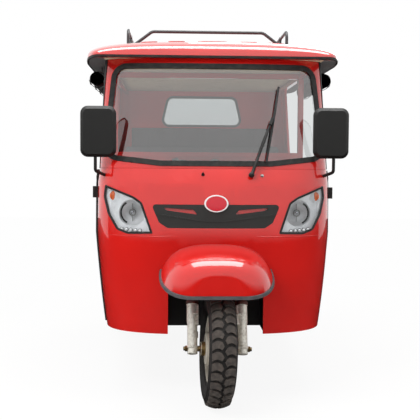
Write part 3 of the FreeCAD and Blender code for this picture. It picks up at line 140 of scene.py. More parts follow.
def material(name, lay, *given):
    """A material whose nodes are laid out by a function."""
    made = bpy.data.materials.new(name)
    made.use_nodes = True
    made.node_tree.nodes.clear()
    lay(made.node_tree, *given)
    return made


# Finishes

def enamel(tree, code, coat_ior=1.5):
    """Two-pack enamel over pressed steel: a clear wet gloss with a faint orange peel."""
    tone = mottled(tree, 0.4, 0.35, 0.65, shaded(code, 0.9), linear(code), 2.0)
    peel = pattern(tree, 0.006, 1.0)  # orange peel waves are 2 to 6 mm long
    surface(tree, tone, 0.32, peel, 0.00003, 0.35,
            **{"Coat Weight": 1.0, "Coat Roughness": 0.03, "Coat IOR": coat_ior, "Specular IOR Level": 0.15})


def powder_coat(tree, code, roughness):
    """Powder coat baked on steel: satin, with a fine pebble of 1 mm drawn at 2 mm."""
    grain = pattern(tree, 0.002, 3.0)
    tone = mottled(tree, 0.12, 0.3, 0.7, shaded(code, 0.8), linear(code))
    rough = spread(tree, grain, 0.3, 0.7, roughness - 0.05, roughness + 0.08)
    surface(tree, tone, rough, grain, 0.00006, 0.4)


def moulded(tree, code, roughness, grain_size=0.003):
    """Injection-moulded ABS with a spark-eroded grain, so it scatters light in a soft broad gleam."""
    place = add(tree, "ShaderNodeTexCoord").outputs["Object"]
    grains = add(tree, "ShaderNodeTexVoronoi", {"Scale": 1 / grain_size, "Vector": place}).outputs["Distance"]
    tone = mottled(tree, 0.05, 0.3, 0.7, shaded(code, 0.85), linear(code))
    surface(tree, tone, roughness, grains, 0.00015, 0.35)


def rubber(tree, code, dust="#6B6258", dust_share=0.12):
    """Extruded EPDM: dull, with a little pale dust caught in it."""
    pale = [a * (1 - dust_share) + b * dust_share for a, b in zip(linear(code), linear(dust))]
    tone = mottled(tree, 0.03, 0.42, 0.68, linear(code), pale, 6.0)
    rough = mottled(tree, 0.01, 0.3, 0.7, 0.55, 0.75)
    surface(tree, tone, rough, pattern(tree, 0.0015), 0.00005)


def tyre_rubber(tree, code, dusty):
    """Carbon-black tyre rubber: black in the grooves, with brown road dust on the tread faces."""
    tone = mottled(tree, 0.02, 0.35, 0.7, linear(code), linear(dusty), 6.0)
    surface(tree, tone, 0.72, pattern(tree, 0.0018, 6.0), 0.00018, 0.6)


def metal(tree, code, roughness, grain_size=0.002, relief=0.00004, dirt=None, metallic=1.0):
    """Bare metal: cast, plated or chromed as roughness and grain say, with an optional dull film."""
    rough = mottled(tree, 0.02, 0.3, 0.75, max(roughness - 0.06, 0.02), roughness + 0.1, 5.0)
    tone = linear(code)
    if dirt:
        tone = mottled(tree, 0.015, 0.45, 0.72, tone, linear(dirt), 6.0, 0.7)
    surface(tree, tone, rough, pattern(tree, grain_size, 3.0), relief, Metallic=metallic)


def bright_work(tree, code, roughness, metallic, facet):
    """Vapour-plated plastic behind a lamp's lens, moulded in small facets."""
    place = add(tree, "ShaderNodeTexCoord").outputs["Object"]
    facets = add(tree, "ShaderNodeTexVoronoi", {"Scale": 1 / facet, "Vector": place}).outputs["Distance"]
    tone = mottled(tree, 0.03, 0.3, 0.7, shaded(code, 0.85), linear(code))
    surface(tree, tone, roughness, facets, facet / 10, Metallic=metallic)


def clear_sheet(tree, code, roughness, share, film):
    """A clear sheet that shines on its outer faces: share of the Fresnel gloss, plus an even film."""
    clear = add(tree, "ShaderNodeBsdfTransparent", {"Color": linear(code)}).outputs["BSDF"]
    gloss = add(tree, "ShaderNodeBsdfGlossy", {"Roughness": roughness}).outputs["BSDF"]
    edge_on = add(tree, "ShaderNodeFresnel", {"IOR": 1.5}).outputs["Fac"]
    shine = {"operation": "MULTIPLY_ADD", 0: edge_on, 1: share, 2: film}
    shine = add(tree, "ShaderNodeMath", shine).outputs[0]
    inside = add(tree, "ShaderNodeNewGeometry").outputs["Backfacing"]
    outside = add(tree, "ShaderNodeMath", {"operation": "SUBTRACT", 0: 1.0, 1: inside}).outputs[0]
    factor = add(tree, "ShaderNodeMath", {"operation": "MULTIPLY", 0: shine, 1: outside}).outputs[0]
    both = add(tree, "ShaderNodeMixShader", {0: factor, 1: clear, 2: gloss}).outputs["Shader"]
    add(tree, "ShaderNodeOutputMaterial", {"Surface": both})


def coloured_lens(tree, code, lower=None, split=0.0):
    """Solid-coloured acrylic: glossy, with a light moulded flute whose troughs are painted darker as shade, and
    another colour below the split.
    """
    place = add(tree, "ShaderNodeTexCoord").outputs["Object"]
    wave = {"Scale": 1 / 0.06, "bands_direction": "X", "Vector": place}
    flutes = add(tree, "ShaderNodeTexWave", wave).outputs["Fac"]
    # Painted shade: the flute wave also darkens the colour to 60 % in its troughs
    tone = spread(tree, flutes, 0.2, 0.8, shaded(code, 0.6), linear(code))
    if lower:
        height = add(tree, "ShaderNodeSeparateXYZ", {0: place}).outputs["Z"]
        below = add(tree, "ShaderNodeMath", {"operation": "LESS_THAN", 0: height, 1: split}).outputs[0]
        foot = {"data_type": "RGBA", 0: below, 6: tone, 7: linear(lower)}
        tone = add(tree, "ShaderNodeMix", foot).outputs[2]
    surface(tree, tone, 0.12, flutes, 0.0004, **{"Coat Weight": 0.6})


def woven(tree, code, pale, thread, painted_shade_past=None):
    """Coarse cloth or webbing: a plain weave, painted near black beyond a given distance from the middle as shade
    under the roof's overhang.
    """
    place = add(tree, "ShaderNodeTexCoord").outputs["Object"]
    waves = []
    for way in ("X", "Y", "Z"):
        wave = {"Scale": 1 / (thread * 6.28), "bands_direction": way, "Vector": place}
        waves.append(add(tree, "ShaderNodeTexWave", wave).outputs["Fac"])
    raised = add(tree, "ShaderNodeMath", {"operation": "MAXIMUM", 0: waves[0], 1: waves[1]}).outputs[0]
    weave = add(tree, "ShaderNodeMath", {"operation": "MULTIPLY", 0: raised, 1: waves[2]}).outputs[0]
    tone = mottled(tree, 0.04, 0.3, 0.7, linear(code), linear(pale), 5.0)
    # Painted shade: near black beyond the given reach from the middle, where the roof's overhang shades the
    # lining's sides
    if painted_shade_past:
        across = add(tree, "ShaderNodeSeparateXYZ", {0: place}).outputs["X"]
        reach = add(tree, "ShaderNodeMath", {"operation": "ABSOLUTE", 0: across}).outputs[0]
        outer = add(tree, "ShaderNodeMath", {"operation": "GREATER_THAN", 0: reach, 1: painted_shade_past}).outputs[0]
        painted_shade_mix = {"data_type": "RGBA", 0: outer, 6: tone, 7: linear("#141415")}
        tone = add(tree, "ShaderNodeMix", painted_shade_mix).outputs[2]
    surface(tree, tone, 0.85, weave, 0.0006, **{"Sheen Weight": 0.2})


def vinyl(tree, code, pale):
    """Expanded PVC on knit: a soft leather-like grain, drawn as 4 mm pebbles, with worn, paler highs."""
    place = add(tree, "ShaderNodeTexCoord").outputs["Object"]
    grain = {"Scale": 1 / 0.004, "feature": "DISTANCE_TO_EDGE", "Vector": place}
    pebbles = add(tree, "ShaderNodeTexVoronoi", grain).outputs["Distance"]
    tone = mottled(tree, 0.08, 0.35, 0.7, linear(code), linear(pale), 5.0)
    rough = mottled(tree, 0.02, 0.3, 0.7, 0.4, 0.55)
    surface(tree, tone, rough, pebbles, 0.0004, **{"Specular IOR Level": 0.45})


FINISHES = {}


def make_finishes():
    """Makes every finish once, under the name of its use, with the slot it mostly fills."""
    body_colour = bpy.context.scene.rickshaw.body_colour
    for use, slot, name, lay, *given in (
            ("red", "red_paint", "red_body_enamel", enamel, body_colour, 1.7),
            ("roof_red", "red_paint", "waxed_roof_enamel", enamel, body_colour, 2.1),
            ("black_paint", "black_paint", "black_chassis_paint", powder_coat, "#1B1B1C", 0.5),
            ("frame", "frame_paint", "black_frame_paint", powder_coat, "#1E1F20", 0.55),
            ("rack", "rack_paint", "graphite_powder_coat", powder_coat, "#3A3A3B", 0.38),
            ("rim_silver", "wheel_paint", "silver_wheel_paint", powder_coat, "#B9B2A6", 0.4),
            ("plastic", "mirror_plastic", "grained_black_abs", moulded, "#191918", 0.5),
            ("grille", "grille_plastic", "satin_black_abs", moulded, "#232321", 0.42, 0.002),
            ("bezel", "lamp_black", "gloss_black_polycarbonate", moulded, "#0E0E0F", 0.2, 0.004),
            ("dash", "grey_plastic", "grey_dash_abs", moulded, "#3B3D40", 0.55, 0.004),
            ("rubber", "black_rubber", "black_epdm_rubber", rubber, "#161616"),
            ("grey_rubber", "grey_rubber", "grey_edge_rubber", rubber, "#454347", "#7A7672", 0.2),
            ("seal_red", "black_rubber", "oxide_fork_seal", rubber, "#4A1F1B", "#6E5A50", 0.3),
            ("tyre", "tyre_rubber", "black_tyre_rubber", tyre_rubber, "#1B1918", "#2A2725"),
            ("tread", "tyre_rubber", "road_worn_tread_rubber", tyre_rubber, "#3A3532", "#524A44"),
            ("alloy", "fork_alloy", "cast_fork_alloy",
             metal, "#E8E4DA", 0.38, 0.002, 0.00008, "#B4AEA2", 0.45),
            ("chrome", "stanchion_chrome", "hard_chrome", metal, "#D8DADC", 0.08),
            ("reflector", "reflector", "vapour_aluminium_reflector",
             bright_work, "#FAFAFA", 0.35, 0.45, 0.012),
            ("white_metal", "reflector", "satin_lamp_surround", bright_work, "#F0F0F0", 0.35, 0.3, 0.004),
            ("zinc", "zinc_steel", "yellow_zinc_plate", metal, "#B39A6C", 0.38, 0.0015, 0.00005, "#7A6244"),
            ("steel", "zinc_steel", "bright_steel", metal, "#A7A6A3", 0.35, 0.0015, 0.00004, "#6C675F"),
            ("hub", "black_paint", "dusty_hub_casting", metal, "#8F8577", 0.55, 0.003, 0.0002, "#6D5E4D"),
            ("cast", "cast_grey", "grey_cast_iron", powder_coat, "#3E3E3D", 0.62),
            ("glass", "clear_glass", "laminated_window_glass", clear_sheet, "#EDEFEF", 0.01, 1.0, 0.2),
            ("lens", "lamp_lens", "clear_lamp_polycarbonate", clear_sheet, "#F8F9FA", 0.03, 0.8, 0.0),
            ("amber", "lamp_lens", "amber_lamp_acrylic", coloured_lens, "#E4692F"),
            ("red_lens", "red_lens", "red_lamp_acrylic", coloured_lens, "#8E0B10", "#D9731F", 0.785),
            ("emblem_red", "emblem_metal", "red_emblem_enamel", enamel, "#C11A2C"),
            ("mirror", "mirror_glass", "silvered_mirror_glass", metal, "#D5D9DA", 0.02),
            # The lining's 0.60 is the reach past which it is painted near black, as shade under the roof's
            # overhang
            ("lining", "headlining", "beige_headlining", woven, "#A98F68", "#C3AC86", 0.004, 0.60),
            ("webbing", "webbing", "black_webbing", woven, "#1C1C1D", "#2C2B2B", 0.002),
            ("curtain", "curtain_vinyl", "black_curtain_vinyl", vinyl, "#19191B", "#2C2C2E"),
            ("seat", "seat_vinyl", "dark_seat_vinyl", vinyl, "#2E2E31", "#47474B")):
        FINISHES[use] = slot, material(name, lay, *given)


# What each CAD node wears: node, piece, finish, edge radius in mm, and its slot if not the finish's own
DRESS = (
    ("front_cowl", "cowl_skin", "red", 2.0),
    ("screen_frame", "screen_surround", "red", 2.0),
    ("snout", "snout_skin", "red", 2.0),
    ("snout_lip", "snout_edging", "grey_rubber", 1.5),
    ("window_seals", "glazing_rubber", "rubber", 1.5),
    ("window_glass", "panes", "glass", 0.0),
    ("wheel_well", "inner_arch", "black_paint", 1.0),
    ("chassis_frame", "ladder_frame", "frame", 3.0),
    ("floor_pan", "floor_sheet", "black_paint", 1.0),
    ("sill_panels", "sills", "red", 2.0),
    ("cowl_trims", "edge_rubbers", "rubber", 2.0),
    ("headlamp_housings", "lamp_bodies", "white_metal", 0.6, "lamp_black"),
    ("headlamp_reflectors", "lamp_bowls", "reflector", 0.0),
    ("headlamp_lenses", "lamp_covers", "lens", 0.0),
    ("grille", "grille_moulding", "grille", 1.0),
    ("emblem_disc", "emblem_base", "white_metal", 1.0, "emblem_metal"),
    ("mirrors", "mirror_shells", "plastic", 5.0),
    ("mirror_glasses", "mirror_panes", "mirror", 0.5),
    ("wiper", "wiper_set", "black_paint", 0.5),
    ("roof_panel", "roof_skin", "roof_red", 2.0),
    ("roof_lining", "headlining", "lining", 1.0),
    ("drip_edge", "gutter_strip", "rubber", 2.0),
    ("roof_rack", "luggage_rack", "rack", 0.0),
    ("quarter_panels", "quarter_skins", "red", 2.0),
    ("rear_panel", "rear_skin", "red", 2.0),
    ("cab_frame", "cab_tubes", "red", 3.0),
    ("partition", "partition_sheet", "red", 1.5),
    ("seat_bases", "seat_boxes", "black_paint", 1.5),
    ("dashboard", "dash_shelf", "dash", 3.0),
    ("curtain_straps", "roll_straps", "webbing", 0.5),
    ("fork_crown", "steering_crown", "black_paint", 2.0),
    ("fork_stanchions", "stanchion_tubes", "chrome", 0.5),
    ("fork_sliders", "slider_castings", "alloy", 1.5),
    ("front_axle", "axle_bolt", "zinc", 1.0),
    ("handlebar", "bar", "black_paint", 0.0),
    ("rear_axle", "axle_casing", "cast", 1.5),
    ("rear_suspension", "springs_and_dampers", "black_paint", 1.0),
    ("engine", "engine_block", "cast", 4.0),
    ("prop_shaft", "drive_shaft", "cast", 1.0),
    ("fuel_tank", "tank", "black_paint", 3.0),
    ("exhaust", "silencer", "cast", 1.0),
    ("rear_arches", "arch_liners", "black_paint", 0.5),
    ("tail_lamps", "tail_lenses", "red_lens", 1.5),
    ("rear_bumper", "bumper_bar", "black_paint", 0.0),
    ("front_rim", "front_wheel_rim", "rim_silver", 1.0),
    ("rear_rim_left", "rear_wheel_rim_left", "rim_silver", 1.0),
    ("rear_rim_right", "rear_wheel_rim_right", "rim_silver", 1.0),
)


# Meshes

def linked(name, data):
    """A new object in the scene."""
    obj = bpy.data.objects.new(name, data)
    bpy.context.scene.collection.objects.link(obj)
    return obj


def plain(obj):
    """An object's evaluated mesh on its own, with its modifiers spent."""
    graph = bpy.context.evaluated_depsgraph_get()
    mesh = bpy.data.meshes.new_from_object(obj.evaluated_get(graph))
    bpy.data.objects.remove(obj)
    return mesh


def settle(mesh, angle):
    """Smooth shading that breaks at edges sharper than the angle, in degrees."""
    mesh.shade_smooth()
    mesh.set_sharp_from_angle(angle=math.radians(angle))


def rounded(mesh, radius, segments=2):
    """The mesh with its sharp edges rounded by radius millimetres."""
    if not radius:
        return mesh
    obj = linked("edge_work", mesh)
    bevel = obj.modifiers.new("edges", "BEVEL")
    bevel.width = radius * MM
    bevel.segments = segments
    bevel.limit_method = "ANGLE"
    bevel.angle_limit = math.radians(50)
    bevel.use_clamp_overlap = True
    bevel.harden_normals = True
    return plain(obj)


def joined_copy(node, radius):
    """A CAD node's mesh with its loose triangles merged and its edges rounded."""
    mesh = NODES[node].data.copy()
    shape = bmesh.new()
    shape.from_mesh(mesh)
    bmesh.ops.remove_doubles(shape, verts=shape.verts, dist=0.00002)
    bmesh.ops.dissolve_limit(shape, angle_limit=math.radians(0.3), verts=shape.verts, edges=shape.edges)
    shape.to_mesh(mesh)
    shape.free()
    mesh.update()
    if mesh.has_custom_normals:
        mesh.attributes.remove(mesh.attributes["custom_normal"])
    settle(mesh, 32)
    return rounded(mesh, radius)


def piece(name, mesh, finish, body="chassis", *nodes, slot=None):
    """A new object for a mesh, with its finish and body, and the nodes it stands for hidden. Its slot is worked
    out but not stored.
    """
    obj = linked(name, mesh)
    obj.name = obj.data.name = name
    own_slot, look = FINISHES[finish]
    slot = slot or own_slot
    mesh.materials.clear()
    mesh.materials.append(look)
    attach(obj, body)
    if nodes:
        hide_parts(*nodes)
    return obj


# Shapes are pairs of points and faces in millimetres until build() makes a mesh of them

def skin(rings, closed=True, capped=True):
    """A skin over rings of equally many points."""
    count = len(rings[0])
    points = [Vector(point) for ring in rings for point in ring]
    faces = []
    for row in range(len(rings) - 1):
        for i in range(count if closed else count - 1):
            j = (i + 1) % count
            faces.append([row * count + i, row * count + j, (row + 1) * count + j, (row + 1) * count + i])
    if capped:
        last = (len(rings) - 1) * count
        faces += [list(range(count)), list(range(last, last + count))]
    return points, faces


def placed(shape, matrix):
    """The shape moved by a matrix whose shift is in millimetres."""
    return [matrix @ point for point in shape[0]], shape[1]


def gathered(shapes):
    """Several shapes as one."""
    points, faces = [], []
    for shape in shapes:
        faces += [[index + len(points) for index in face] for face in shape[1]]
        points += shape[0]
    return points, faces


def turns(steps):
    """The angles of equal steps round a circle."""
    return [2 * math.pi * step / steps for step in range(steps)]


def lathe(profile, steps=48, looped=False):
    """A profile of (along, radius) turned about the X axis."""
    rings = []
    for along, radius in profile:
        rings.append([(along, radius * math.cos(a), radius * math.sin(a)) for a in turns(steps)])
    if looped:
        rings.append(rings[0])
    return skin(rings, capped=not looped)


def stud(profile, sides):
    """A profile of (radius, up) turned about the Z axis."""
    rings = []
    for radius, up in profile:
        rings.append([(radius * math.cos(a), radius * math.sin(a), up) for a in turns(sides)])
    return skin(rings)


def tube(path, radius, sides=10):
    """A round bar of one radius, or one at each point, through a path."""
    path = [Vector(point) for point in path]
    radii = radius if isinstance(radius, list) else [radius] * len(path)
    rings, side = [], None
    for index, point in enumerate(path):
        way = (path[min(index + 1, len(path) - 1)] - path[max(index - 1, 0)]).normalized()
        side = side or way.orthogonal()
        side = (side - way * side.dot(way)).normalized()
        other = way.cross(side)
        reach = radii[index]
        rings.append([point + reach * (side * math.cos(a) + other * math.sin(a)) for a in turns(sides)])
    return skin(rings)


def block(low, high):
    """A box between two corners."""
    flat = ((0, 0), (1, 0), (1, 1), (0, 1))
    ends = (low, high)
    return skin([[(ends[i][0], ends[j][1], ends[k][2]) for i, j in flat] for k in (0, 1)])


def build(name, shape, angle=35.0, radius=0.0, segments=2):
    """A mesh in metres, facing outwards, with its sharp edges rounded by radius millimetres."""
    mesh = bpy.data.meshes.new(name)
    mesh.from_pydata([point * MM for point in shape[0]], [], shape[1])
    solid = bmesh.new()
    solid.from_mesh(mesh)
    bmesh.ops.remove_doubles(solid, verts=solid.verts, dist=0.00001)
    bmesh.ops.recalc_face_normals(solid, faces=solid.faces)
    solid.to_mesh(mesh)
    solid.free()
    settle(mesh, angle)
    return rounded(mesh, radius, segments)


def fitting(name, shapes, finish, body="chassis", *nodes, place=HERE, angle=35.0, radius=0.0, slot=None):
    """A piece built of shapes that are laid out in the frame of a place."""
    mesh = build(name, placed(gathered(shapes), place), angle, radius)
    return piece(name, mesh, finish, body, *nodes, slot=slot)


def copies_tree():
    """Puts a copy of a shape at every point of a mesh, turned by the point's own rotation."""
    tree = bpy.data.node_groups.new("copies", "GeometryNodeTree")
    for name, kind in (("Places", "Geometry"), ("Shape", "Object"), ("Finish", "Material")):
        tree.interface.new_socket(name, in_out="INPUT", socket_type="NodeSocket" + kind)
    tree.interface.new_socket("Copies", in_out="OUTPUT", socket_type="NodeSocketGeometry")
    given = add(tree, "NodeGroupInput").outputs
    shape = add(tree, "GeometryNodeObjectInfo", {"transform_space": "ORIGINAL", "Object": given["Shape"]})
    turn = add(tree, "GeometryNodeInputNamedAttribute", {"data_type": "QUATERNION", "Name": "turn"})
    spot = add(tree, "GeometryNodeInstanceOnPoints", {
        "Points": given["Places"], "Instance": shape.outputs["Geometry"],
        "Rotation": turn.outputs["Attribute"]})
    real = add(tree, "GeometryNodeRealizeInstances", {0: spot.outputs[0]})
    worn = add(tree, "GeometryNodeSetMaterial", {"Geometry": real.outputs[0], "Material": given["Finish"]})
    add(tree, "NodeGroupOutput", {0: worn.outputs[0]})
    return tree


def copies(name, shape, places, finish, body="chassis", radius=0.0, slot=None):
    """A piece made of equal copies of a shape, one at each place."""
    group = bpy.data.node_groups.get("copies") or copies_tree()
    sample = linked("sample", build("sample", shape, radius=radius, segments=1))
    points = bpy.data.meshes.new(name)
    points.from_pydata([place.to_translation() * MM for place in places], [], [])
    for spot, place in zip(points.attributes.new("turn", "QUATERNION", "POINT").data, places):
        spot.value = place.to_quaternion()
    obj = linked(name, points)
    nodes = obj.modifiers.new("copies", "NODES")
    nodes.node_group = group
    for socket, value in (("Shape", sample), ("Finish", FINISHES[finish][1])):
        nodes[group.interface.items_tree[socket].identifier] = value
    mesh = plain(obj)
    bpy.data.objects.remove(sample)
    settle(mesh, 35)
    return piece(name, mesh, finish, body, slot=slot)


BOLT = gathered([stud(((9, -1), (9, 1.6)), 12), stud(((7.5, 1.6), (7.5, 5.6), (6.4, 6.8)), 6)])
RIVET = stud(((3.6, -1), (3.6, 0.5), (2.4, 1.7)), 8)


# Where things are

def back(y):
    """A length back from the front axle, as the frame's Y."""
    return y + AXLE_Y


def spun(degrees, axis="X"):
    """A turn about an axis."""
    return Matrix.Rotation(math.radians(degrees), 4, axis)


def axes(across, up, origin):
    """A frame of reference from its X and Z directions and its origin in millimetres."""
    across, up = Vector(across).normalized(), Vector(up).normalized()
    matrix = Matrix((across, up.cross(across), up)).transposed().to_4x4()
    matrix.translation = Vector(origin)
    return matrix


def facing(normal, place, up=(0, 0, 1)):
    """A frame whose Z axis is a surface normal at a place."""
    normal = Vector(normal).normalized()
    across = Vector(up).cross(normal)
    if across.length < 0.01:
        across = Vector((1, 0, 0))
    return axes(across, normal, place)


def joint_point(name):
    """A joint's place in millimetres."""
    return Vector(JOINTS[name]["pos_m"]) / MM


def fork_axes(joint="steering_turn"):
    """The steering's own frame at a joint: X along the front axle, Z up the steering axis."""
    return axes(JOINTS["front_wheel_roll"]["axis"], JOINTS["steering_turn"]["axis"], joint_point(joint))


def wheel_axes(body):
    """A wheel's frame with X along its axle, outwards on the rear wheels."""
    if body == "front_wheel":
        return fork_axes("front_wheel_roll")
    side, joint = (1, "rear_left_roll") if body.endswith("left") else (-1, "rear_right_roll")
    return axes((side, 0, 0), (0, 0, 1), joint_point(joint))


def search_tree(*meshes):
    """A tree for casting rays at meshes, in millimetres."""
    shapes = []
    for mesh in meshes:
        shapes.append(([v.co / MM for v in mesh.vertices], [list(f.vertices) for f in mesh.polygons]))
    return BVHTree.FromPolygons(*gathered(shapes))


class Skin:
    """The outer face of CAD nodes, for laying things on it. Millimetres."""

    def __init__(self, *nodes):
        self.tree = search_tree(*(NODES[node].data for node in nodes))

    def ahead(self, x, z):
        """The first face met from the front at x, z, past the hairline gaps between nodes, and its normal."""
        found = []
        for right, up in ((0, 0), (1.5, 0), (-1.5, 0), (0, 1.5), (0, -1.5)):
            hit = self.tree.ray_cast(Vector((x + right, -4000, z + up)), Vector((0, 1, 0)))
            if hit[0]:
                found.append(hit)
        nearest = min(hit[0].y for hit in found)
        place, normal, *rest = next(hit for hit in found if hit[0].y < nearest + 3)
        return Vector((x, place.y, z)), (-normal if normal.y > 0 else normal)

    def hit(self, start, way):
        """The first face met from a start point along a way, and its normal."""
        place, normal, *rest = self.tree.ray_cast(Vector(start), Vector(way))
        return place, (-normal if normal.dot(Vector(way)) > 0 else normal)


class RICKSHAW_OT_finishes(bpy.types.Operator):
    """Dress every CAD node that keeps its own shape"""
    bl_idname = "rickshaw.finishes"
    bl_label = "Panels and castings"

    def execute(self, context):
        for node, name, finish, radius, *other in DRESS:
            slot = other[0] if other else None
            piece(name, joined_copy(node, radius), finish, BODY_OF[node], node, slot=slot)
        return {"FINISHED"}


class RICKSHAW_OT_wheels(bpy.types.Operator):
    """Tyres with their block tread, rim fittings, nuts and valve"""
    bl_idname = "rickshaw.wheels"
    bl_label = "Wheels"

    def execute(self, context):
        self.tyre("front_wheel", "front_tyre")
        for side in ("left", "right"):
            self.tyre("rear_wheel_" + side, "rear_tyre_" + side)
        self.front_fittings()
        for side in ("left", "right"):
            self.rear_fittings("rear_wheel_" + side)
        return {"FINISHED"}

    def crown(self, x):
        """Radius of the tread face at a distance from the middle."""
        return TYRE_RADIUS - 15 * (x / 56) ** 2

    def tyre(self, body, node):
        """The casing, and a ring of tread blocks on each side of its middle."""
        place = wheel_axes(body)
        outer = [(42, 160), (43, 172), (50, 182), (52, 183.5), (53.5, 182.5), (58, 192), (64, 207), (67, 222),
                 (67.5, 233), (66.2, 241), (67.4, 243), (66.6, 246), (64.5, 247), (60, 259), (55, 266)]
        half = outer + [(x, self.crown(x) - TREAD_DEPTH) for x in (44, 30, 15, 0)]
        inner = [(0, 264), (40, 254), (54, 225), (48, 190), (32, 160)]
        profile = half + [(-x, r) for x, r in reversed(half[:-1])]
        profile += [(-x, r) for x, r in reversed(inner)] + inner[1:]
        fitting(body + "_tyre", [lathe(profile, 128, looped=True)], "tyre", body, node, place=place, angle=40)
        for side, name in ((-1, "right"), (1, "left")):
            spots = [place @ spun(360 * (n + side * 0.25) / TREAD_BLOCKS) for n in range(TREAD_BLOCKS)]
            copies("%s_tread_%s" % (body, name), self.tread_block(side), spots, "tread", body)

    def tread_block(self, side):
        """An arched block at the top of the wheel, pointed towards the zigzag groove in the middle."""
        shoulder, gap, steps = 56, 16, 6
        pitch = 2 * math.pi * TYRE_RADIUS / TREAD_BLOCKS
        rows = []
        for step in range(steps + 1):
            share = step / steps
            near = 2 + 10 * abs(2 * share - 1)
            row = []
            for part in (0.0, 0.25, 0.5, 0.75, 1.0):
                along = (share - 0.5) * (pitch - gap) + 4.0 * part - 10.0 * math.sin(part * math.pi)
                row.append((near + (shoulder - near) * part, along / TYRE_RADIUS))
            rows.append(row)
        tops, feet = [[[self.on_tread(side, x, turn, drop, flare) for x, turn in row] for row in rows]
                      for drop, flare in ((0, 0), (TREAD_DEPTH + 3, 1.5))]
        edge = [(0, i) for i in range(5)] + [(j, 4) for j in range(1, steps + 1)]
        edge += [(steps, i) for i in range(3, -1, -1)] + [(j, 0) for j in range(steps - 1, 0, -1)]
        wall = skin([[layer[j][i] for j, i in edge] for layer in (tops, feet)], capped=False)
        return gathered([skin(tops, closed=False, capped=False), wall])

    def on_tread(self, side, x, turn, drop, flare):
        """A point below the tread face, pushed outwards at the shoulder."""
        radius = self.crown(x) - drop
        return side * (x + (flare if x > 50 else 0)), -radius * math.sin(turn), radius * math.cos(turn)

    def front_fittings(self):
        """Hub and brake drum, the spacer and sleeve beside them, and the flange's bolts."""
        place = wheel_axes("front_wheel")
        flange = lathe([(30, 34), (66, 34), (66, 52), (70, 52), (70, 30), (84, 26), (86, 14)], 40)
        drum = lathe([(-63, 60), (-64, 66), (-60, 79.5), (-20, 79.5), (-14, 74)])
        ribs = [lathe([(x - 2, 78), (x - 1.4, 82), (x + 1.4, 82), (x + 2, 78)]) for x in (-50, -40, -30)]
        fitting("front_hub_casting", [flange, drum] + ribs, "rim_silver", "front_wheel", place=place)
        self.valve("front_wheel", place @ spun(112), -22)
        spacer = lathe([(-104, 13), (-96, 14.5), (-88, 14.5), (-86.5, 17)], 24)
        fitting("axle_spacer", [spacer], "zinc", "steering", place=place)
        sleeve = lathe([(-86.3, 22), (-86.2, 31), (-83, 34.7), (-64, 34.7)], 40)
        fitting("hub_sleeve", [sleeve], "zinc", "front_wheel", place=place)
        spots = [place @ spun(60 * n) @ Matrix.Translation((70, 0, 44)) @ spun(90, "Y") for n in range(6)]
        copies("front_flange_bolts", BOLT, spots, "zinc", "front_wheel")

    def valve(self, body, place, along):
        """Rubber valve stem with its cap, through the well of the rim."""
        stem = tube([(along, 0, 134), (along - 4, 0, 118), (along - 12, 0, 104)], [6.0, 4.2, 3.6], 12)
        cap = tube([(along - 11, 0, 106), (along - 17, 0, 94)], [4.6, 4.0], 12)
        fitting(body + "_valve", [stem, cap], "rubber", body, place=place)

    def rear_fittings(self, body):
        """Hub cap, wheel nuts on their studs, and the valve."""
        place = wheel_axes(body)
        cap = lathe([(36, 34), (46, 33), (52, 28), (55, 18), (56, 4)], 40)
        fitting(body + "_hub_cap", [cap], "steel", body, place=place)
        nut = gathered([lathe([(-2, 11.5), (1, 11.5), (1, 9), (2, 9)], 12), tube([(0, 0, 0), (17, 0, 0)], 5),
                        lathe([(1, 9), (11, 9)], 6)])
        spots = [place @ spun(45 + 90 * n) @ Matrix.Translation((20, 0, 62)) for n in range(4)]
        copies(body + "_nuts", nut, spots, "steel", body, 0.6)
        self.valve(body, place @ spun(22), 34)


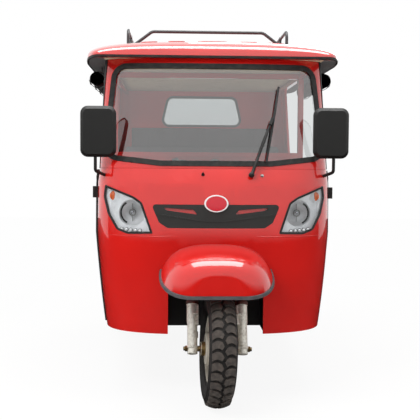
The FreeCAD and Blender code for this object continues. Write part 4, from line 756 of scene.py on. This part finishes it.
class RICKSHAW_OT_fork(bpy.types.Operator):
    """Dust seals, lugs and clamps of the fork, and the controls on the bar"""
    bl_idname = "rickshaw.fork"
    bl_label = "Fork and handlebar"

    def execute(self, context):
        place = fork_axes()
        seals, lugs, bolts = [], [], []
        for side in (-1, 1):
            x, lug, arm = side * FORK_LEG, side * 112, side * 104
            leg = Matrix.Translation((x, -40, 0)) @ spun(-90, "Y")
            seal = [(224, 31), (227, 32.5), (240, 32.5), (247, 28), (250, 21), (250, 16.4)]
            seals.append(placed(lathe(seal, 32), leg))
            lugs += [block((lug - 11, -74, 168), (lug + 11, -56, 176)),
                     block((arm - 8, -60, 120), (arm + 8, -20, 220)),
                     placed(lathe([(-2, 27), (2, 29.5), (10, 29.5), (14, 27)], 32), leg),
                     block((x - 15, -22, -20), (x + 15, -6, 22))]
            bolts += [place @ facing((0, way, 0), (x, y, z)) for way, y, z in ((1, -6, 12), (-1, -70, 400))]
        fitting("fork_dust_seals", seals, "seal_red", "steering", place=place)
        fitting("fork_lugs", lugs, "alloy", "steering", place=place, radius=2.0)
        copies("fork_bolts", BOLT, bolts, "zinc", "steering")
        self.brackets(place)
        self.controls(place)
        return {"FINISHED"}

    def brackets(self, place):
        """Grey mudguard stays that run from the sliders up behind the wheel."""
        stays = []
        for side in (-1, 1):
            x = side * 104
            stays += [tube([(x, -22, 70), (x, 2, 150), (x, 4, 230), (side * 96, -6, 300)], 5.5),
                      block((x - 9, -20, 60), (x + 9, -14, 92))]
        fitting("fork_stays", stays, "hub", "steering", place=place, radius=0.8)

    def controls(self, place):
        """Levers, switch pods and ribbed grips at both ends of the bar."""
        levers, pods, grips = [], [], []
        for side in (-1, 1):
            end, inner = Vector((side * 330, 110, 1043)), Vector((side * 170, 30, 1055))
            bar = axes((end - inner).normalized(), (0, 0, 1), end)
            ribs = [(-119, 14)]
            for n in range(17):
                start = -117 + 6.4 * n
                ribs += [(start, 16.2), (start + 1, 17.4), (start + 4.4, 17.4), (start + 5.4, 16.2)]
            ribs += [(-6, 19.5), (0, 19.5), (3, 17), (4, 8)]
            grips.append(placed(lathe(ribs, 24), bar))
            pods += [placed(shape, bar) for shape in (
                lathe([(-156, 13), (-156, 20), (-134, 20), (-134, 13)], 24),
                block((-158, -22, -18), (-124, 22, 22)),
                tube([(-142, 0, 20), (-142, 0, 28)], [7, 6], 12))]
            lever = [(-146, -16, 0), (-146, -34, 0), (-120, -46, -2), (-70, -52, -4), (-20, -56, -6),
                     (4, -58, -7)]
            levers.append(placed(tube(lever, [9, 8, 6, 5, 5, 7.5], 12), bar))
        fitting("ribbed_grips", grips, "rubber", "steering", "grips", place=place)
        fitting("switch_pods", pods, "plastic", "steering", place=place, radius=3.0)
        fitting("hand_levers", levers, "alloy", "steering", place=place)


class RICKSHAW_OT_lamps(bpy.types.Operator):
    """Everything on the face of the cowl: lamps, emblem, washer and wiper"""
    bl_idname = "rickshaw.lamps"
    bl_label = "Lamps and emblem"

    def execute(self, context):
        self.cowl = Skin("front_cowl", "headlamp_lenses", "grille")
        outline = self.lamp_outline()
        bowl_x, bowl_z = LAMP_BOWL
        bezels, bulbs, liners, shields, visors, ambers, leds = [], [], [], [], [], [], []
        for side in (-1, 1):
            edge = [(side * x, z) for x, z in outline]
            bezels.append(self.band(edge, 11.0, 2.2))
            liners.append(self.liner(edge, Vector((side * bowl_x, bowl_z))))
            face = self.cowl.ahead(side * 506, bowl_z)[0].y
            seat = axes((0, 1, 0), (0, 0, 1), (side * bowl_x, face + 18, bowl_z))
            bulbs.append(placed(lathe([(44, 9), (20, 9), (12, 7), (9, 2)], 20), seat))
            shield = lathe([(16, 14), (14, 18), (17, 19.5), (24, 19.5), (26, 14)], 28, looped=True)
            legs = [tube([(22, 0, way * 19), (30, 0, way * 60)], 1.6, 6) for way in (-1, 1)]
            shields += [placed(shape, seat) for shape in [shield] + legs]
            sweep = [math.radians(-62 + 12 * n) for n in range(11)]
            visors.append(tube([(side * (bowl_x + 60 * math.cos(a)), face + 24, bowl_z + 60 * math.sin(a))
                                for a in sweep], 4.5, 8))
            face = self.cowl.ahead(side * 549, 1033)[0].y
            dome = axes((0, 1, 0), (0, 0, 1), (side * 530, face + 4, 1040))
            ambers.append(placed(lathe([(10, 27), (3, 26), (-1, 20), (-3, 11), (-3.4, 1)], 28), dome))
            spots = [self.cowl.ahead(side * (392 + 24 * n), 862 + 1.5 * n)[0] for n in range(5)]
            leds += [facing((0, -1, 0), spot + Vector((0, 8, 0))) for spot in spots]
        for name, shapes, finish, slot in (
                ("lamp_bezels", bezels, "plastic", "lamp_black"),
                ("lamp_bulbs", bulbs, "chrome", "reflector"),
                ("lamp_surrounds", liners, "white_metal", "reflector"),
                ("bulb_shields", shields, "steel", "lamp_black"),
                ("lamp_visors", visors, "bezel", "lamp_black"),
                ("turn_lamps", ambers, "amber", "lamp_lens")):
            fitting(name, shapes, finish, slot=slot)
        lens = stud(((8.5, 0), (8.5, 1.5), (6.5, 4), (2, 5.2)), 12)
        copies("daytime_leds", lens, leds, "white_metal", slot="lamp_lens")
        copies("led_rims", stud(((10.5, -0.2), (10.5, 1.0), (9.0, 1.0), (9.0, 0.3)), 12), leds, "bezel")
        self.emblem()
        self.washer()
        self.wiper()
        return {"FINISHED"}

    def lamp_outline(self):
        """Points every few millimetres round the left lamp, with its corners rounded."""
        corners = [Vector(corner) for corner in LAMP_CORNERS]
        points = []
        for index, corner in enumerate(corners):
            before, after = corners[index - 1], corners[(index + 1) % len(corners)]
            start = corner + (before - corner).normalized() * 10
            stop = corner + (after - corner).normalized() * 10
            for share in (0.0, 0.25, 0.5, 0.75, 1.0):
                points.append(start.lerp(corner, share).lerp(corner.lerp(stop, share), share))
            points += [corner + (after - corner) * share for share in (0.25, 0.5, 0.75)]
        return points

    def liner(self, edge, bowl):
        """The stepped bright liner between the lamp's outline and the mouth of its main bowl."""
        steps = ((0.02, 6), (0.1, 10), (0.12, 10), (0.3, 14), (0.33, 16), (0.6, 18), (0.64, 21), (1.0, 24))
        rings = []
        for share, depth in steps:
            ring = []
            for point in edge:
                point = Vector(point)
                x, z = point.lerp(bowl + (point - bowl).normalized() * 70, share)
                ring.append(self.cowl.ahead(x, z)[0] + Vector((0, depth, 0)))
            rings.append(ring)
        return skin(rings, capped=False)

    def band(self, edge, width, height):
        """A flat frame just inside a closed outline on the cowl."""
        edge = [Vector(point) for point in edge]
        middle = sum(edge, Vector((0, 0))) / len(edge)
        rings = []
        for index, point in enumerate(edge):
            along = (edge[(index + 1) % len(edge)] - edge[index - 1]).normalized()
            inward = Vector((-along.y, along.x))
            if inward.dot(middle - point) < 0:
                inward = -inward
            ring = []
            for share, lift in ((-0.12, -1.0), (0.0, height), (0.75, height), (1.0, -1.0)):
                spot, normal = self.cowl.ahead(*(point + inward * width * share))
                ring.append(spot + normal * lift)
            rings.append(ring)
        return skin(rings + rings[:1], capped=False)

    def emblem(self):
        """A blank red enamel oval inside the plated rim."""
        disc = Skin("emblem_disc")
        half, tall, level = EMBLEM
        rings = []
        for share, lift in ((0.87, -0.6), (0.86, 1.2), (0.7, 1.9), (0.4, 2.4), (0.08, 2.6)):
            ring = []
            for a in turns(48):
                spot, normal = disc.ahead(half * share * math.cos(a), level + tall * share * math.sin(a))
                ring.append(spot - Vector((0, lift, 0)))
            rings.append(ring)
        fitting("emblem_enamel", [skin(rings)], "emblem_red")

    def washer(self):
        """The washer's jet and the nut beside it."""
        spot, normal = self.cowl.ahead(-68, 1151)
        jet = [lathe([(0, 11), (3, 11), (5, 8), (16, 6.5), (19, 4)], 20),
               placed(lathe([(0, 3.6), (9, 3.2)], 12), Matrix.Translation((15, 0, 0)))]
        fitting("washer_jet", jet, "plastic", place=axes(normal, (0, 0, 1), spot - normal))
        spot, normal = self.cowl.ahead(240, 1149)
        copies("scuttle_nut", BOLT, [facing(normal, spot)], "steel")

    def wiper(self):
        """Pressed arm, its hinge clip and cap, and the bridge that holds the blade."""
        pivot = (183, 1154)
        glass = Skin("window_glass", "window_seals", "screen_frame", "front_cowl")
        arm = self.over(glass, pivot, (300, 1446), 30, 8)
        bridge = self.over(glass, (270, 1245), (340, 1600), 20, 12)
        blade = self.over(glass, (264, 1218), (343, 1625), 7, 0)
        clip = placed(block((-34, -8, -10), (10, 8, 12)), axes(arm[-1] - arm[-3], (0, -1, 0.2), arm[-1]))
        arm_shapes = [tube(arm, [9.0] * 4 + [7.0] * 7 + [5.0] * 4), clip]
        bridge_shape = tube(bridge, [3.0] * 2 + [5.5] * 11 + [3.0] * 2, 8)
        fitting("wiper_arm", arm_shapes, "plastic", radius=1.5, slot="black_paint")
        fitting("wiper_bridge", [bridge_shape], "plastic", slot="black_paint")
        fitting("wiper_rubber", [tube(blade, 4.0, 8)], "rubber")
        spot, normal = Skin("wiper").ahead(*pivot)
        dome = lathe([(-3, 15), (4, 15), (9, 12), (12, 6), (12.6, 1)], 24)
        fitting("wiper_cap", [dome], "plastic", place=axes((0, -1, 0), (0, 0, 1), spot))

    def over(self, glass, start, stop, lift, rise, steps=14):
        """A path in front of the glass, bowed out by rise in its middle."""
        path = []
        for n in range(steps + 1):
            x, z = [a + (b - a) * n / steps for a, b in zip(start, stop)]
            path.append(glass.ahead(x, z)[0] - Vector((0, lift + rise * math.sin(n / steps * math.pi), 0)))
        return path


class RICKSHAW_OT_soft_goods(bpy.types.Operator):
    """Stuffed seat pads with sewn channels, and the rolled side curtains"""
    bl_idname = "rickshaw.soft_goods"
    bl_label = "Seats and curtains"

    def execute(self, context):
        # Half width, front, back, foot and top; padded face, grid, seams, swell, node
        for name, (half, y0, y1, z0, z1), face, voxel, seams, cap, node in (
                ("driver_cushion", (255, 775, 1085, 692.3, 802), "z", 10, (-85, 85), 13, "driver_seat"),
                ("driver_back", (255, 1090, 1175, 816, 1212), "y", 9, (-85, 85), 11, "driver_seat"),
                ("bench_cushion", (590, 1850, 2320, 722.3, 832), "z", 14, BENCH_SEAMS, 15, "bench_seat"),
                ("bench_back", (590, 2325, 2420, 722.3, 1352), "y", 14, BENCH_SEAMS, 14, "bench_seat")):
            low, high = Vector((-half, back(y0), z0)), Vector((half, back(y1), z1))
            self.pad(name, low, high, face, voxel, seams, cap, node)
        for side, name in ((1, "curtain_roll_left"), (-1, "curtain_roll_right")):
            self.roll(name, side)
        self.buckles()
        return {"FINISHED"}

    def pad(self, name, low, high, face, voxel, seams, cap, node):
        """A pad blown up against its cover, with sewn channels and piping."""
        shrink = Vector((cap * 0.8,) * 3)
        start = build(name, block(low + shrink, high - shrink), radius=18, segments=4)
        mesh = self.inflated(start, voxel * MM, cap * MM, face, (low + shrink) * MM)
        self.fit(mesh, low * MM, high * MM)
        self.channels(mesh, face, seams)
        obj = piece(name, mesh, "seat", "chassis", node)
        self.piping(name, mesh, low, high, face)

    def inflated(self, mesh, voxel, cap, face, floor):
        """Remeshed evenly, then swollen by cloth pressure with its resting side pinned."""
        obj = linked("pad", mesh)
        grid = obj.modifiers.new("grid", "REMESH")
        grid.mode = "VOXEL"
        grid.voxel_size = voxel
        mesh = plain(obj)
        obj = linked("pad", mesh)
        start = [vertex.co.copy() for vertex in mesh.vertices]
        pinned = obj.vertex_groups.new(name="pinned")
        rest = [v.index for v in mesh.vertices if face == "z" and v.co.z - floor.z < 0.004]
        pinned.add(rest or [0], 1.0, "REPLACE")
        cloth = obj.modifiers.new("pressure", "CLOTH")
        cloth.settings.use_pressure = True
        cloth.settings.uniform_pressure_force = 4.0
        cloth.settings.quality = 5
        cloth.settings.vertex_group_mass = "pinned"
        cloth.settings.effector_weights.gravity = 0.0
        for number in range(1, 21):
            bpy.context.scene.frame_set(number)
        mesh = plain(obj)
        bpy.context.scene.frame_set(1)
        for vertex, first in zip(mesh.vertices, start):
            move = vertex.co - first
            if move.length > cap:
                vertex.co = first + move * (cap / move.length)
        obj = linked("pad", mesh)
        finer = obj.modifiers.new("finer", "SUBSURF")
        finer.levels = finer.render_levels = 1
        return plain(obj)

    def fit(self, mesh, low, high):
        """Brings a pad back to the room its CAD solid holds."""
        for axis in range(3):
            values = [vertex.co[axis] for vertex in mesh.vertices]
            first, last = min(values), max(values)
            scale = (high[axis] - low[axis]) / (last - first)
            for vertex in mesh.vertices:
                vertex.co[axis] = low[axis] + (vertex.co[axis] - first) * scale

    def channels(self, mesh, face, seams):
        """Sewn grooves down the padded face, and light wrinkles all over."""
        groove, crease = 0.009, 0.0016
        axis, sign = (2, 1) if face == "z" else (1, -1)
        for vertex, normal in zip(mesh.vertices, [v.normal.copy() for v in mesh.vertices]):
            share = max(normal[axis] * sign, 0.0)
            gap = min(abs(vertex.co.x / MM - x) for x in seams)
            vertex.co[axis] -= sign * share * groove * math.exp(-(gap / 9.0) ** 2)
            wrinkle = noise.noise(vertex.co * 9.0) * 0.5 + noise.noise(vertex.co * 23.0) * 0.25
            vertex.co -= normal * crease * max(wrinkle + 0.35, 0.0)
        settle(mesh, 70)

    def piping(self, name, mesh, low, high, face):
        """Welt cord sewn round the edge of the padded face."""
        tree = search_tree(mesh)
        middle, size = (low + high) / 2, (high - low) / 2
        path = []
        for turn in turns(160):
            cos, sin = math.cos(turn), math.sin(turn)
            wide = 1 / (abs(cos) ** 7 + abs(sin) ** 7) ** (1 / 7)
            if face == "z":
                level = Vector((0, 0, size.z * 0.52))
                way = Vector((size.x * cos * wide, size.y * sin * wide, 0))
            else:
                level = Vector((0, -size.y * 0.42, 0))
                way = Vector((size.x * cos * wide, 0, size.z * sin * wide))
            spot, normal, *rest = tree.ray_cast(middle + level, way)
            path.append(spot - normal * 0.8)
        fitting(name + "_piping", [tube(path + path[:1], 3.2, 8)], "curtain", angle=80)

    def roll(self, name, side):
        """A 1.1 m deep vinyl curtain wound loosely round itself, drawn in a little under its straps."""
        length, inside, outside, steps, across = 1100.0, 11.0, 45.0, 210, 64
        pitch = math.pi * (outside ** 2 - inside ** 2) / length
        rows = []
        for i in range(across + 1):
            y = ROLL_FRONT + ROLL_WIDTH * i / across
            pinch = sum(math.exp(-((y - strap) / 42.0) ** 2) for strap in STRAPS)
            row = []
            for j in range(steps + 1):
                radius = math.sqrt(inside ** 2 + pitch * (length * j / steps) / math.pi)
                turn = 2 * math.pi * radius / pitch
                cos, sin = math.cos(turn), math.sin(turn)
                fold = noise.noise(Vector((y / 70, cos * 1.6, sin * 1.6 + side * 3)))
                slack = (0.5 + fold) * 3.4 * (1 - 0.6 * pinch) * radius / outside
                reach = radius - max(slack, 0.0) - 1.6 * pinch * radius / outside
                row.append((side * (ROLL_X + reach * cos), back(y), ROLL_Z + reach * sin))
            rows.append(row)
        mesh = build(name, skin(rows, closed=False, capped=False), 75)
        obj = piece(name, mesh, "curtain", "chassis", "rolled_curtains")

    def buckles(self):
        """Wire slides on the outer side of each strap."""
        half, tall = 19, 13
        loop = [(-half, -tall, 0), (half, -tall, 0), (half, tall, 0), (-half, tall, 0), (-half, -tall, 0)]
        shape = gathered([tube(loop, 2.0, 8), tube([(-half, 0, 0.5), (half, 0, 0.5)], 1.8, 8)])
        places = []
        for side in (-1, 1):
            normal = Vector((side * math.cos(0.3), 0, -math.sin(0.3)))
            for y in STRAPS:
                places.append(facing(normal, Vector((side * ROLL_X, back(y), ROLL_Z)) + normal * 50.5))
        copies("strap_buckles", shape, places, "steel", slot="webbing")


class RICKSHAW_OT_fittings(bpy.types.Operator):
    """Rack feet, tail lamp gaskets, bolts and rivets"""
    bl_idname = "rickshaw.fittings"
    bl_label = "Rack, rear and fixings"

    def execute(self, context):
        self.rack()
        self.edge_bulbs()
        self.tail()
        self.under()
        self.wall_trim()
        self.creases()
        self.gutter()
        self.instrument()
        return {"FINISHED"}

    def rack(self):
        """Bolted feet under the rack's posts, and weld collars where tubes meet."""
        roof = Skin("roof_panel")
        feet, collars, bolts = [], [], []
        for side in (-1, 1):
            for share, shift in ((0.0, 12), (0.33, 0), (0.67, 0), (1.0, -12)):
                x, y = side * 517, back(RACK_FRONT + RACK_LENGTH * share) + shift
                spot, normal = roof.hit((x, y, 2300), (0, 0, -1))
                seat = facing(normal, spot + normal * 0.3)
                feet.append(placed(block((-22, -34, 0), (22, 34, 3.5)), seat))
                feet.append(placed(lathe([(3, 15), (9, 14), (16, 11)], 20), seat @ spun(-90, "Y")))
                bolts += [seat @ Matrix.Translation((0, way * 25, 4)) for way in (-1, 1)]
                if not shift:
                    for z in (RACK_LOW, RACK_TOP):
                        collar = lathe([(-11, 8.4), (-5, 11), (5, 11), (11, 8.4)], 16)
                        collars.append(placed(collar, axes((0, 0, 1), (0, 1, 0), (x, y, z))))
            for n in range(6):
                seat = axes((side, 0, 0), (0, 0, 1), (side * 508, back(RACK_FRONT + 200 * n), RACK_LOW))
                collars.append(placed(lathe([(-10, 7.4), (-3, 10), (3, 10)], 16), seat))
        fitting("rack_feet", feet, "rack", radius=1.2)
        fitting("rack_welds", collars, "rack", angle=60)
        copies("rack_bolts", BOLT, bolts, "steel")

    def edge_bulbs(self):
        """The round black bulb of the weather strip down each rear edge of the cowl."""
        shell = Skin("front_cowl", "cowl_trims")
        strips = []
        for side in (-1, 1):
            spots = [shell.hit((side * 1200, -640, 336 + 20 * n), (-side, 0, 0))[0] for n in range(43)]
            strips.append(tube([spot + Vector((side * 5.0, 6, 0)) for spot in spots], 8.5))
        fitting("cowl_edge_bulbs", strips, "rubber")

    def tail(self):
        """Screws of the tail lamps, and the black gasket round each one's foot."""
        lenses, wall = Skin("tail_lamps"), Skin("rear_panel")
        low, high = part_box("tail_lamps")
        outer, foot, top = high[0] / MM, low[2] / MM, high[2] / MM
        width, forwards = 90, (0, -1, 0)
        screws, gaskets = [], []
        for side in (-1, 1):
            for z in (foot + 12, top - 12):
                spot, normal = lenses.hit((side * (outer - width / 2), 3000, z), forwards)
                screws.append(facing(normal, spot))
            corners = [(outer + 1, foot - 1), (outer + 1, top + 1), (outer - width - 1, top + 1),
                       (outer - width - 1, foot - 1)]
            path = [wall.hit((side * x, 3000, z), forwards)[0] for x, z in corners + corners[:2]]
            gaskets.append(tube(path, 3.5, 8))
        copies("lamp_screws", RIVET, screws, "steel")
        fitting("tail_gaskets", gaskets, "rubber")

    def under(self):
        """U-bolts and spring pads of the rear axle."""
        foot, top, half = 236, TYRE_RADIUS + 46, 31
        bolts, clips = [], []
        for side in (-1, 1):
            x = side * SPRING_X
            for way in (-1, 1):
                y = back(REAR_AXLE) + way * 46
                path = [(x - half, y, foot), (x - half, y, top - 14), (x - 24, y, top - 2), (x, y, top + 4),
                        (x + 24, y, top - 2), (x + half, y, top - 14), (x + half, y, foot)]
                clips.append(tube(path, 6))
                bolts += [facing((0, 0, -1), (x + turn * half, y, foot + 8), (0, 1, 0)) for turn in (-1, 1)]
            clips.append(block((x - 42, back(REAR_AXLE) - 60, 240), (x + 42, back(REAR_AXLE) + 60, 246)))
        fitting("spring_clips", clips, "black_paint", radius=0.8)
        copies("spring_nuts", BOLT, bolts, "steel")

    def wall_trim(self):
        """Vinyl lining of the back wall, between the bench's back and the rear window."""
        wall = Skin("rear_panel")
        count, spacing = 56, 9.8
        rows = []
        for z, lift in ((1336, 6), (1348, 11), (1400, 13), (1450, 13), (1484, 11), (1492, 7), (1494, 0)):
            row = []
            for n in range(-count, count + 1):
                x = n * spacing
                gap = min(abs(x - seam) for seam in BENCH_SEAMS)
                depth = lift * (1 - 0.5 * math.exp(-(gap / 9) ** 2)) * min((count - abs(n)) / 1.5, 1)
                row.append(wall.hit((x, back(2260), z), (0, 1, 0))[0] - Vector((0, depth, 0)))
            rows.append(row)
        fitting("back_wall_trim", [skin(rows, closed=False, capped=False)], "seat", angle=60)

    def creases(self):
        """The pressed bead along the cowl's crease, below each lamp."""
        face = Skin("front_cowl")
        radii = [1.4 + 1.6 * min(n, 39 - n, 8) / 8 for n in range(40)]
        beads = []
        for side in (-1, 1):
            hits = [face.ahead(side * (176 + 10.4 * n), 834 + 5 * math.exp(-(n / 9) ** 2)) for n in range(40)]
            beads.append(tube([spot - normal * 1.6 for spot, normal in hits], radii, 12))
        fitting("cowl_beads", beads, "red")

    def gutter(self):
        """Rivets along the roof's drip edge."""
        edge = Skin("drip_edge")
        rivets = []
        for side in (-1, 1):
            for n in range(19):
                spot, normal = edge.hit((side * 1200, back(560 + 105 * n), 1785), (-side, 0, 0))
                rivets.append(facing(normal, spot))
        copies("gutter_rivets", RIVET, rivets, "steel")

    def instrument(self):
        """The round instrument on the dash, with plain ticks."""
        seat = axes((0, 0.94, 0.34), (0, -0.34, 0.94), (0, back(330), 1196))
        pod = lathe([(-40, 22), (-34, 34), (10, 38), (16, 38), (16, 34), (8, 33)])
        fitting("instrument_pod", [pod], "plastic", place=seat)
        fitting("instrument_dial", [lathe([(7, 33.5), (9, 32), (9.4, 1)])], "dash", place=seat)
        ticks = [seat @ spun(-120 + 24 * n) for n in range(11)]
        tick = block((9.2, -0.8, 23), (10.2, 0.8, 29))
        copies("dial_ticks", tick, ticks, "white_metal", slot="mirror_plastic")


# The stage, in metres

def white_paper(tree):
    """White paper that keeps the shadow near the vehicle, and looks dull in the paint's reflections."""
    paper = add(tree, "ShaderNodeBsdfDiffuse", {"Color": linear("#F0F0EE")}).outputs[0]
    dull = add(tree, "ShaderNodeBsdfDiffuse", {"Color": linear("#241B1B")}).outputs[0]
    glow = add(tree, "ShaderNodeEmission", {"Color": WHITE, "Strength": 0.99}).outputs[0]
    place = add(tree, "ShaderNodeTexCoord").outputs["Object"]
    reach = add(tree, "ShaderNodeVectorMath", {"operation": "LENGTH", 0: place}).outputs["Value"]
    fade = {"From Min": 1.4, "From Max": 3.4, "To Min": 0.92, "Value": reach}
    far = add(tree, "ShaderNodeMapRange", fade).outputs["Result"]
    path = add(tree, "ShaderNodeLightPath").outputs
    seen = add(tree, "ShaderNodeMixShader", {0: path["Is Glossy Ray"], 1: paper, 2: dull}).outputs[0]
    share = {"operation": "MULTIPLY", 0: path["Is Camera Ray"], 1: far}
    share = add(tree, "ShaderNodeMath", share).outputs[0]
    both = add(tree, "ShaderNodeMixShader", {0: share, 1: seen, 2: glow}).outputs[0]
    add(tree, "ShaderNodeOutputMaterial", {"Surface": both})


def black_cloth(tree):
    """Black cloth that fades out upwards."""
    cloth = add(tree, "ShaderNodeBsdfDiffuse", {"Color": linear("#1A1414")}).outputs[0]
    place = add(tree, "ShaderNodeTexCoord").outputs["Object"]
    height = add(tree, "ShaderNodeSeparateXYZ", {0: place}).outputs["Z"]
    fade = {"From Min": 0.8, "From Max": 2.2, "Value": height}
    share = add(tree, "ShaderNodeMapRange", fade).outputs["Result"]
    clear = add(tree, "ShaderNodeBsdfTransparent").outputs[0]
    both = add(tree, "ShaderNodeMixShader", {0: share, 1: cloth, 2: clear}).outputs[0]
    add(tree, "ShaderNodeOutputMaterial", {"Surface": both})


class RICKSHAW_OT_stage(bpy.types.Operator):
    """Floor, camera and lamps"""
    bl_idname = "rickshaw.stage"
    bl_label = "Stage"

    def execute(self, context):
        context.scene.view_settings.view_transform = "Standard"
        self.world(context.scene)
        half = 14.0
        corners = [(-half, -half, 0), (half, -half, 0), (half, half, 0), (-half, half, 0)]
        self.card("studio_floor", corners, material("white_paper_floor", white_paper))
        self.flags()
        self.camera(context.scene)
        self.lamp("key_card", (-2.6, -3.6, 4.2), (0, -0.9, 0.9), 158, (2.6, 1.8))
        self.lamp("fill_card", (3.4, -3.4, 2.2), (0, -0.9, 0.9), 14, (2.0, 2.0))
        self.lamp("overhead_card", (0, -0.4, 4.6), (0, -0.5, 0.8), 165, (4.0, 2.0), True)
        self.lamp("rear_card", (1.5, 5.0, 3.2), (0, 0.6, 0.9), 90, (3.0, 2.0), True)
        return {"FINISHED"}

    def world(self, scene):
        """A white room, brighter where it is seen, mirrored or seen through glass than as a light."""
        world = bpy.data.worlds.new("studio")
        world.use_nodes = True
        tree = world.node_tree
        tree.nodes.clear()
        path = add(tree, "ShaderNodeLightPath").outputs
        seen = path["Is Camera Ray"]
        for ray in ("Is Glossy Ray", "Is Transmission Ray"):
            seen = add(tree, "ShaderNodeMath", {"operation": "MAXIMUM", 0: seen, 1: path[ray]}).outputs[0]
        strength = add(tree, "ShaderNodeMix", {"data_type": "FLOAT", 0: seen, 2: 0.55, 3: 1.0}).outputs[0]
        light = add(tree, "ShaderNodeBackground", {"Color": WHITE, "Strength": strength}).outputs[0]
        add(tree, "ShaderNodeOutputWorld", {"Surface": light})
        scene.world = world

    def flags(self):
        """A low curved black wall in front that only the paint and the glass see."""
        cloth = material("black_flag", black_cloth)
        angles = [math.radians(180 + 15 * n) for n in range(13)]
        feet = [(9 * math.cos(a), 8.5 * math.sin(a) + 1.0) for a in angles]
        for n, (a, b) in enumerate(zip(feet, feet[1:])):
            obj = self.card("flag_%02d" % n, [(*a, 0), (*b, 0), (*b, 3.6), (*a, 3.6)], cloth)
            obj.visible_camera = obj.visible_diffuse = obj.visible_shadow = obj.visible_transmission = False

    def card(self, name, corners, finish):
        """A flat sheet of the stage."""
        mesh = bpy.data.meshes.new(name)
        mesh.from_pydata(corners, [], [(0, 1, 2, 3)])
        mesh.materials.append(finish)
        obj = linked(name, mesh)
        return obj

    def camera(self, scene):
        """The photo's view, from the panel's values."""
        view = scene.rickshaw
        data = bpy.data.cameras.new("front_view")
        data.lens = view.lens
        data.sensor_width = 36.0
        camera = linked("front_view", data)
        camera.location = view.camera_place
        turn = Matrix.Rotation(-view.yaw, 3, "Z") @ Matrix.Rotation(math.pi / 2 - view.pitch, 3, "X")
        camera.rotation_euler = (turn @ Matrix.Rotation(view.roll, 3, "Z")).to_euler()
        scene.camera = camera

    def lamp(self, name, place, aim, power, size, mirrored=False):
        """A rectangular lamp, in watts, which shows in reflections only where it is mirrored."""
        data = bpy.data.lights.new(name, "AREA")
        data.shape = "RECTANGLE"
        data.size, data.size_y = size
        data.energy = power
        obj = linked(name, data)
        obj.location = place
        obj.rotation_euler = (Vector(aim) - Vector(place)).to_track_quat("-Z", "Y").to_euler()
        obj.visible_glossy = mirrored


class RickshawSettings(bpy.types.PropertyGroup):
    """What a user would change"""
    body_colour: bpy.props.StringProperty(
        name="Body colour", description="sRGB hex colour of the body enamel", default="#C6150F")
    lens: bpy.props.FloatProperty(
        name="Lens", description="Focal length of the front view's camera", default=72.4, unit="CAMERA")
    camera_place: bpy.props.FloatVectorProperty(
        name="Camera place", description="Where the front view's camera stands", subtype="TRANSLATION",
        size=3, default=(-0.2233, -5.3364, 1.2002))
    yaw: bpy.props.FloatProperty(
        name="Yaw", description="Turn of the camera towards the vehicle's left", default=0.0441,
        subtype="ANGLE")
    pitch: bpy.props.FloatProperty(
        name="Pitch", description="How far the camera looks down", default=0.0524, subtype="ANGLE")
    roll: bpy.props.FloatProperty(
        name="Roll", description="Tilt of the camera about its own axis", default=0.0067, subtype="ANGLE")


OPERATORS = (RICKSHAW_OT_stage, RICKSHAW_OT_finishes, RICKSHAW_OT_wheels, RICKSHAW_OT_fork, RICKSHAW_OT_lamps,
             RICKSHAW_OT_soft_goods, RICKSHAW_OT_fittings)


class RICKSHAW_PT_panel(bpy.types.Panel):
    """Lists the steps that dress the rickshaw"""
    bl_idname = "RICKSHAW_PT_panel"
    bl_label = "Rickshaw"
    bl_space_type = "VIEW_3D"
    bl_region_type = "UI"
    bl_category = "Rickshaw"

    def draw(self, context):
        settings = context.scene.rickshaw
        for name in settings.bl_rna.properties.keys():
            if name not in ("rna_type", "name"):
                self.layout.prop(settings, name)
        for operator in OPERATORS:
            self.layout.operator(operator.bl_idname)


CLASSES = (RickshawSettings, *OPERATORS, RICKSHAW_PT_panel)


def register():
    for made in CLASSES:
        bpy.utils.register_class(made)
    bpy.types.Scene.rickshaw = bpy.props.PointerProperty(type=RickshawSettings)


def unregister():
    del bpy.types.Scene.rickshaw
    for made in reversed(CLASSES):
        bpy.utils.unregister_class(made)


def main():
    register()
    make_finishes()
    for operator in OPERATORS:
        group, name = operator.bl_idname.split(".")
        getattr(getattr(bpy.ops, group), name)()


if __name__ == "__main__":
    main()
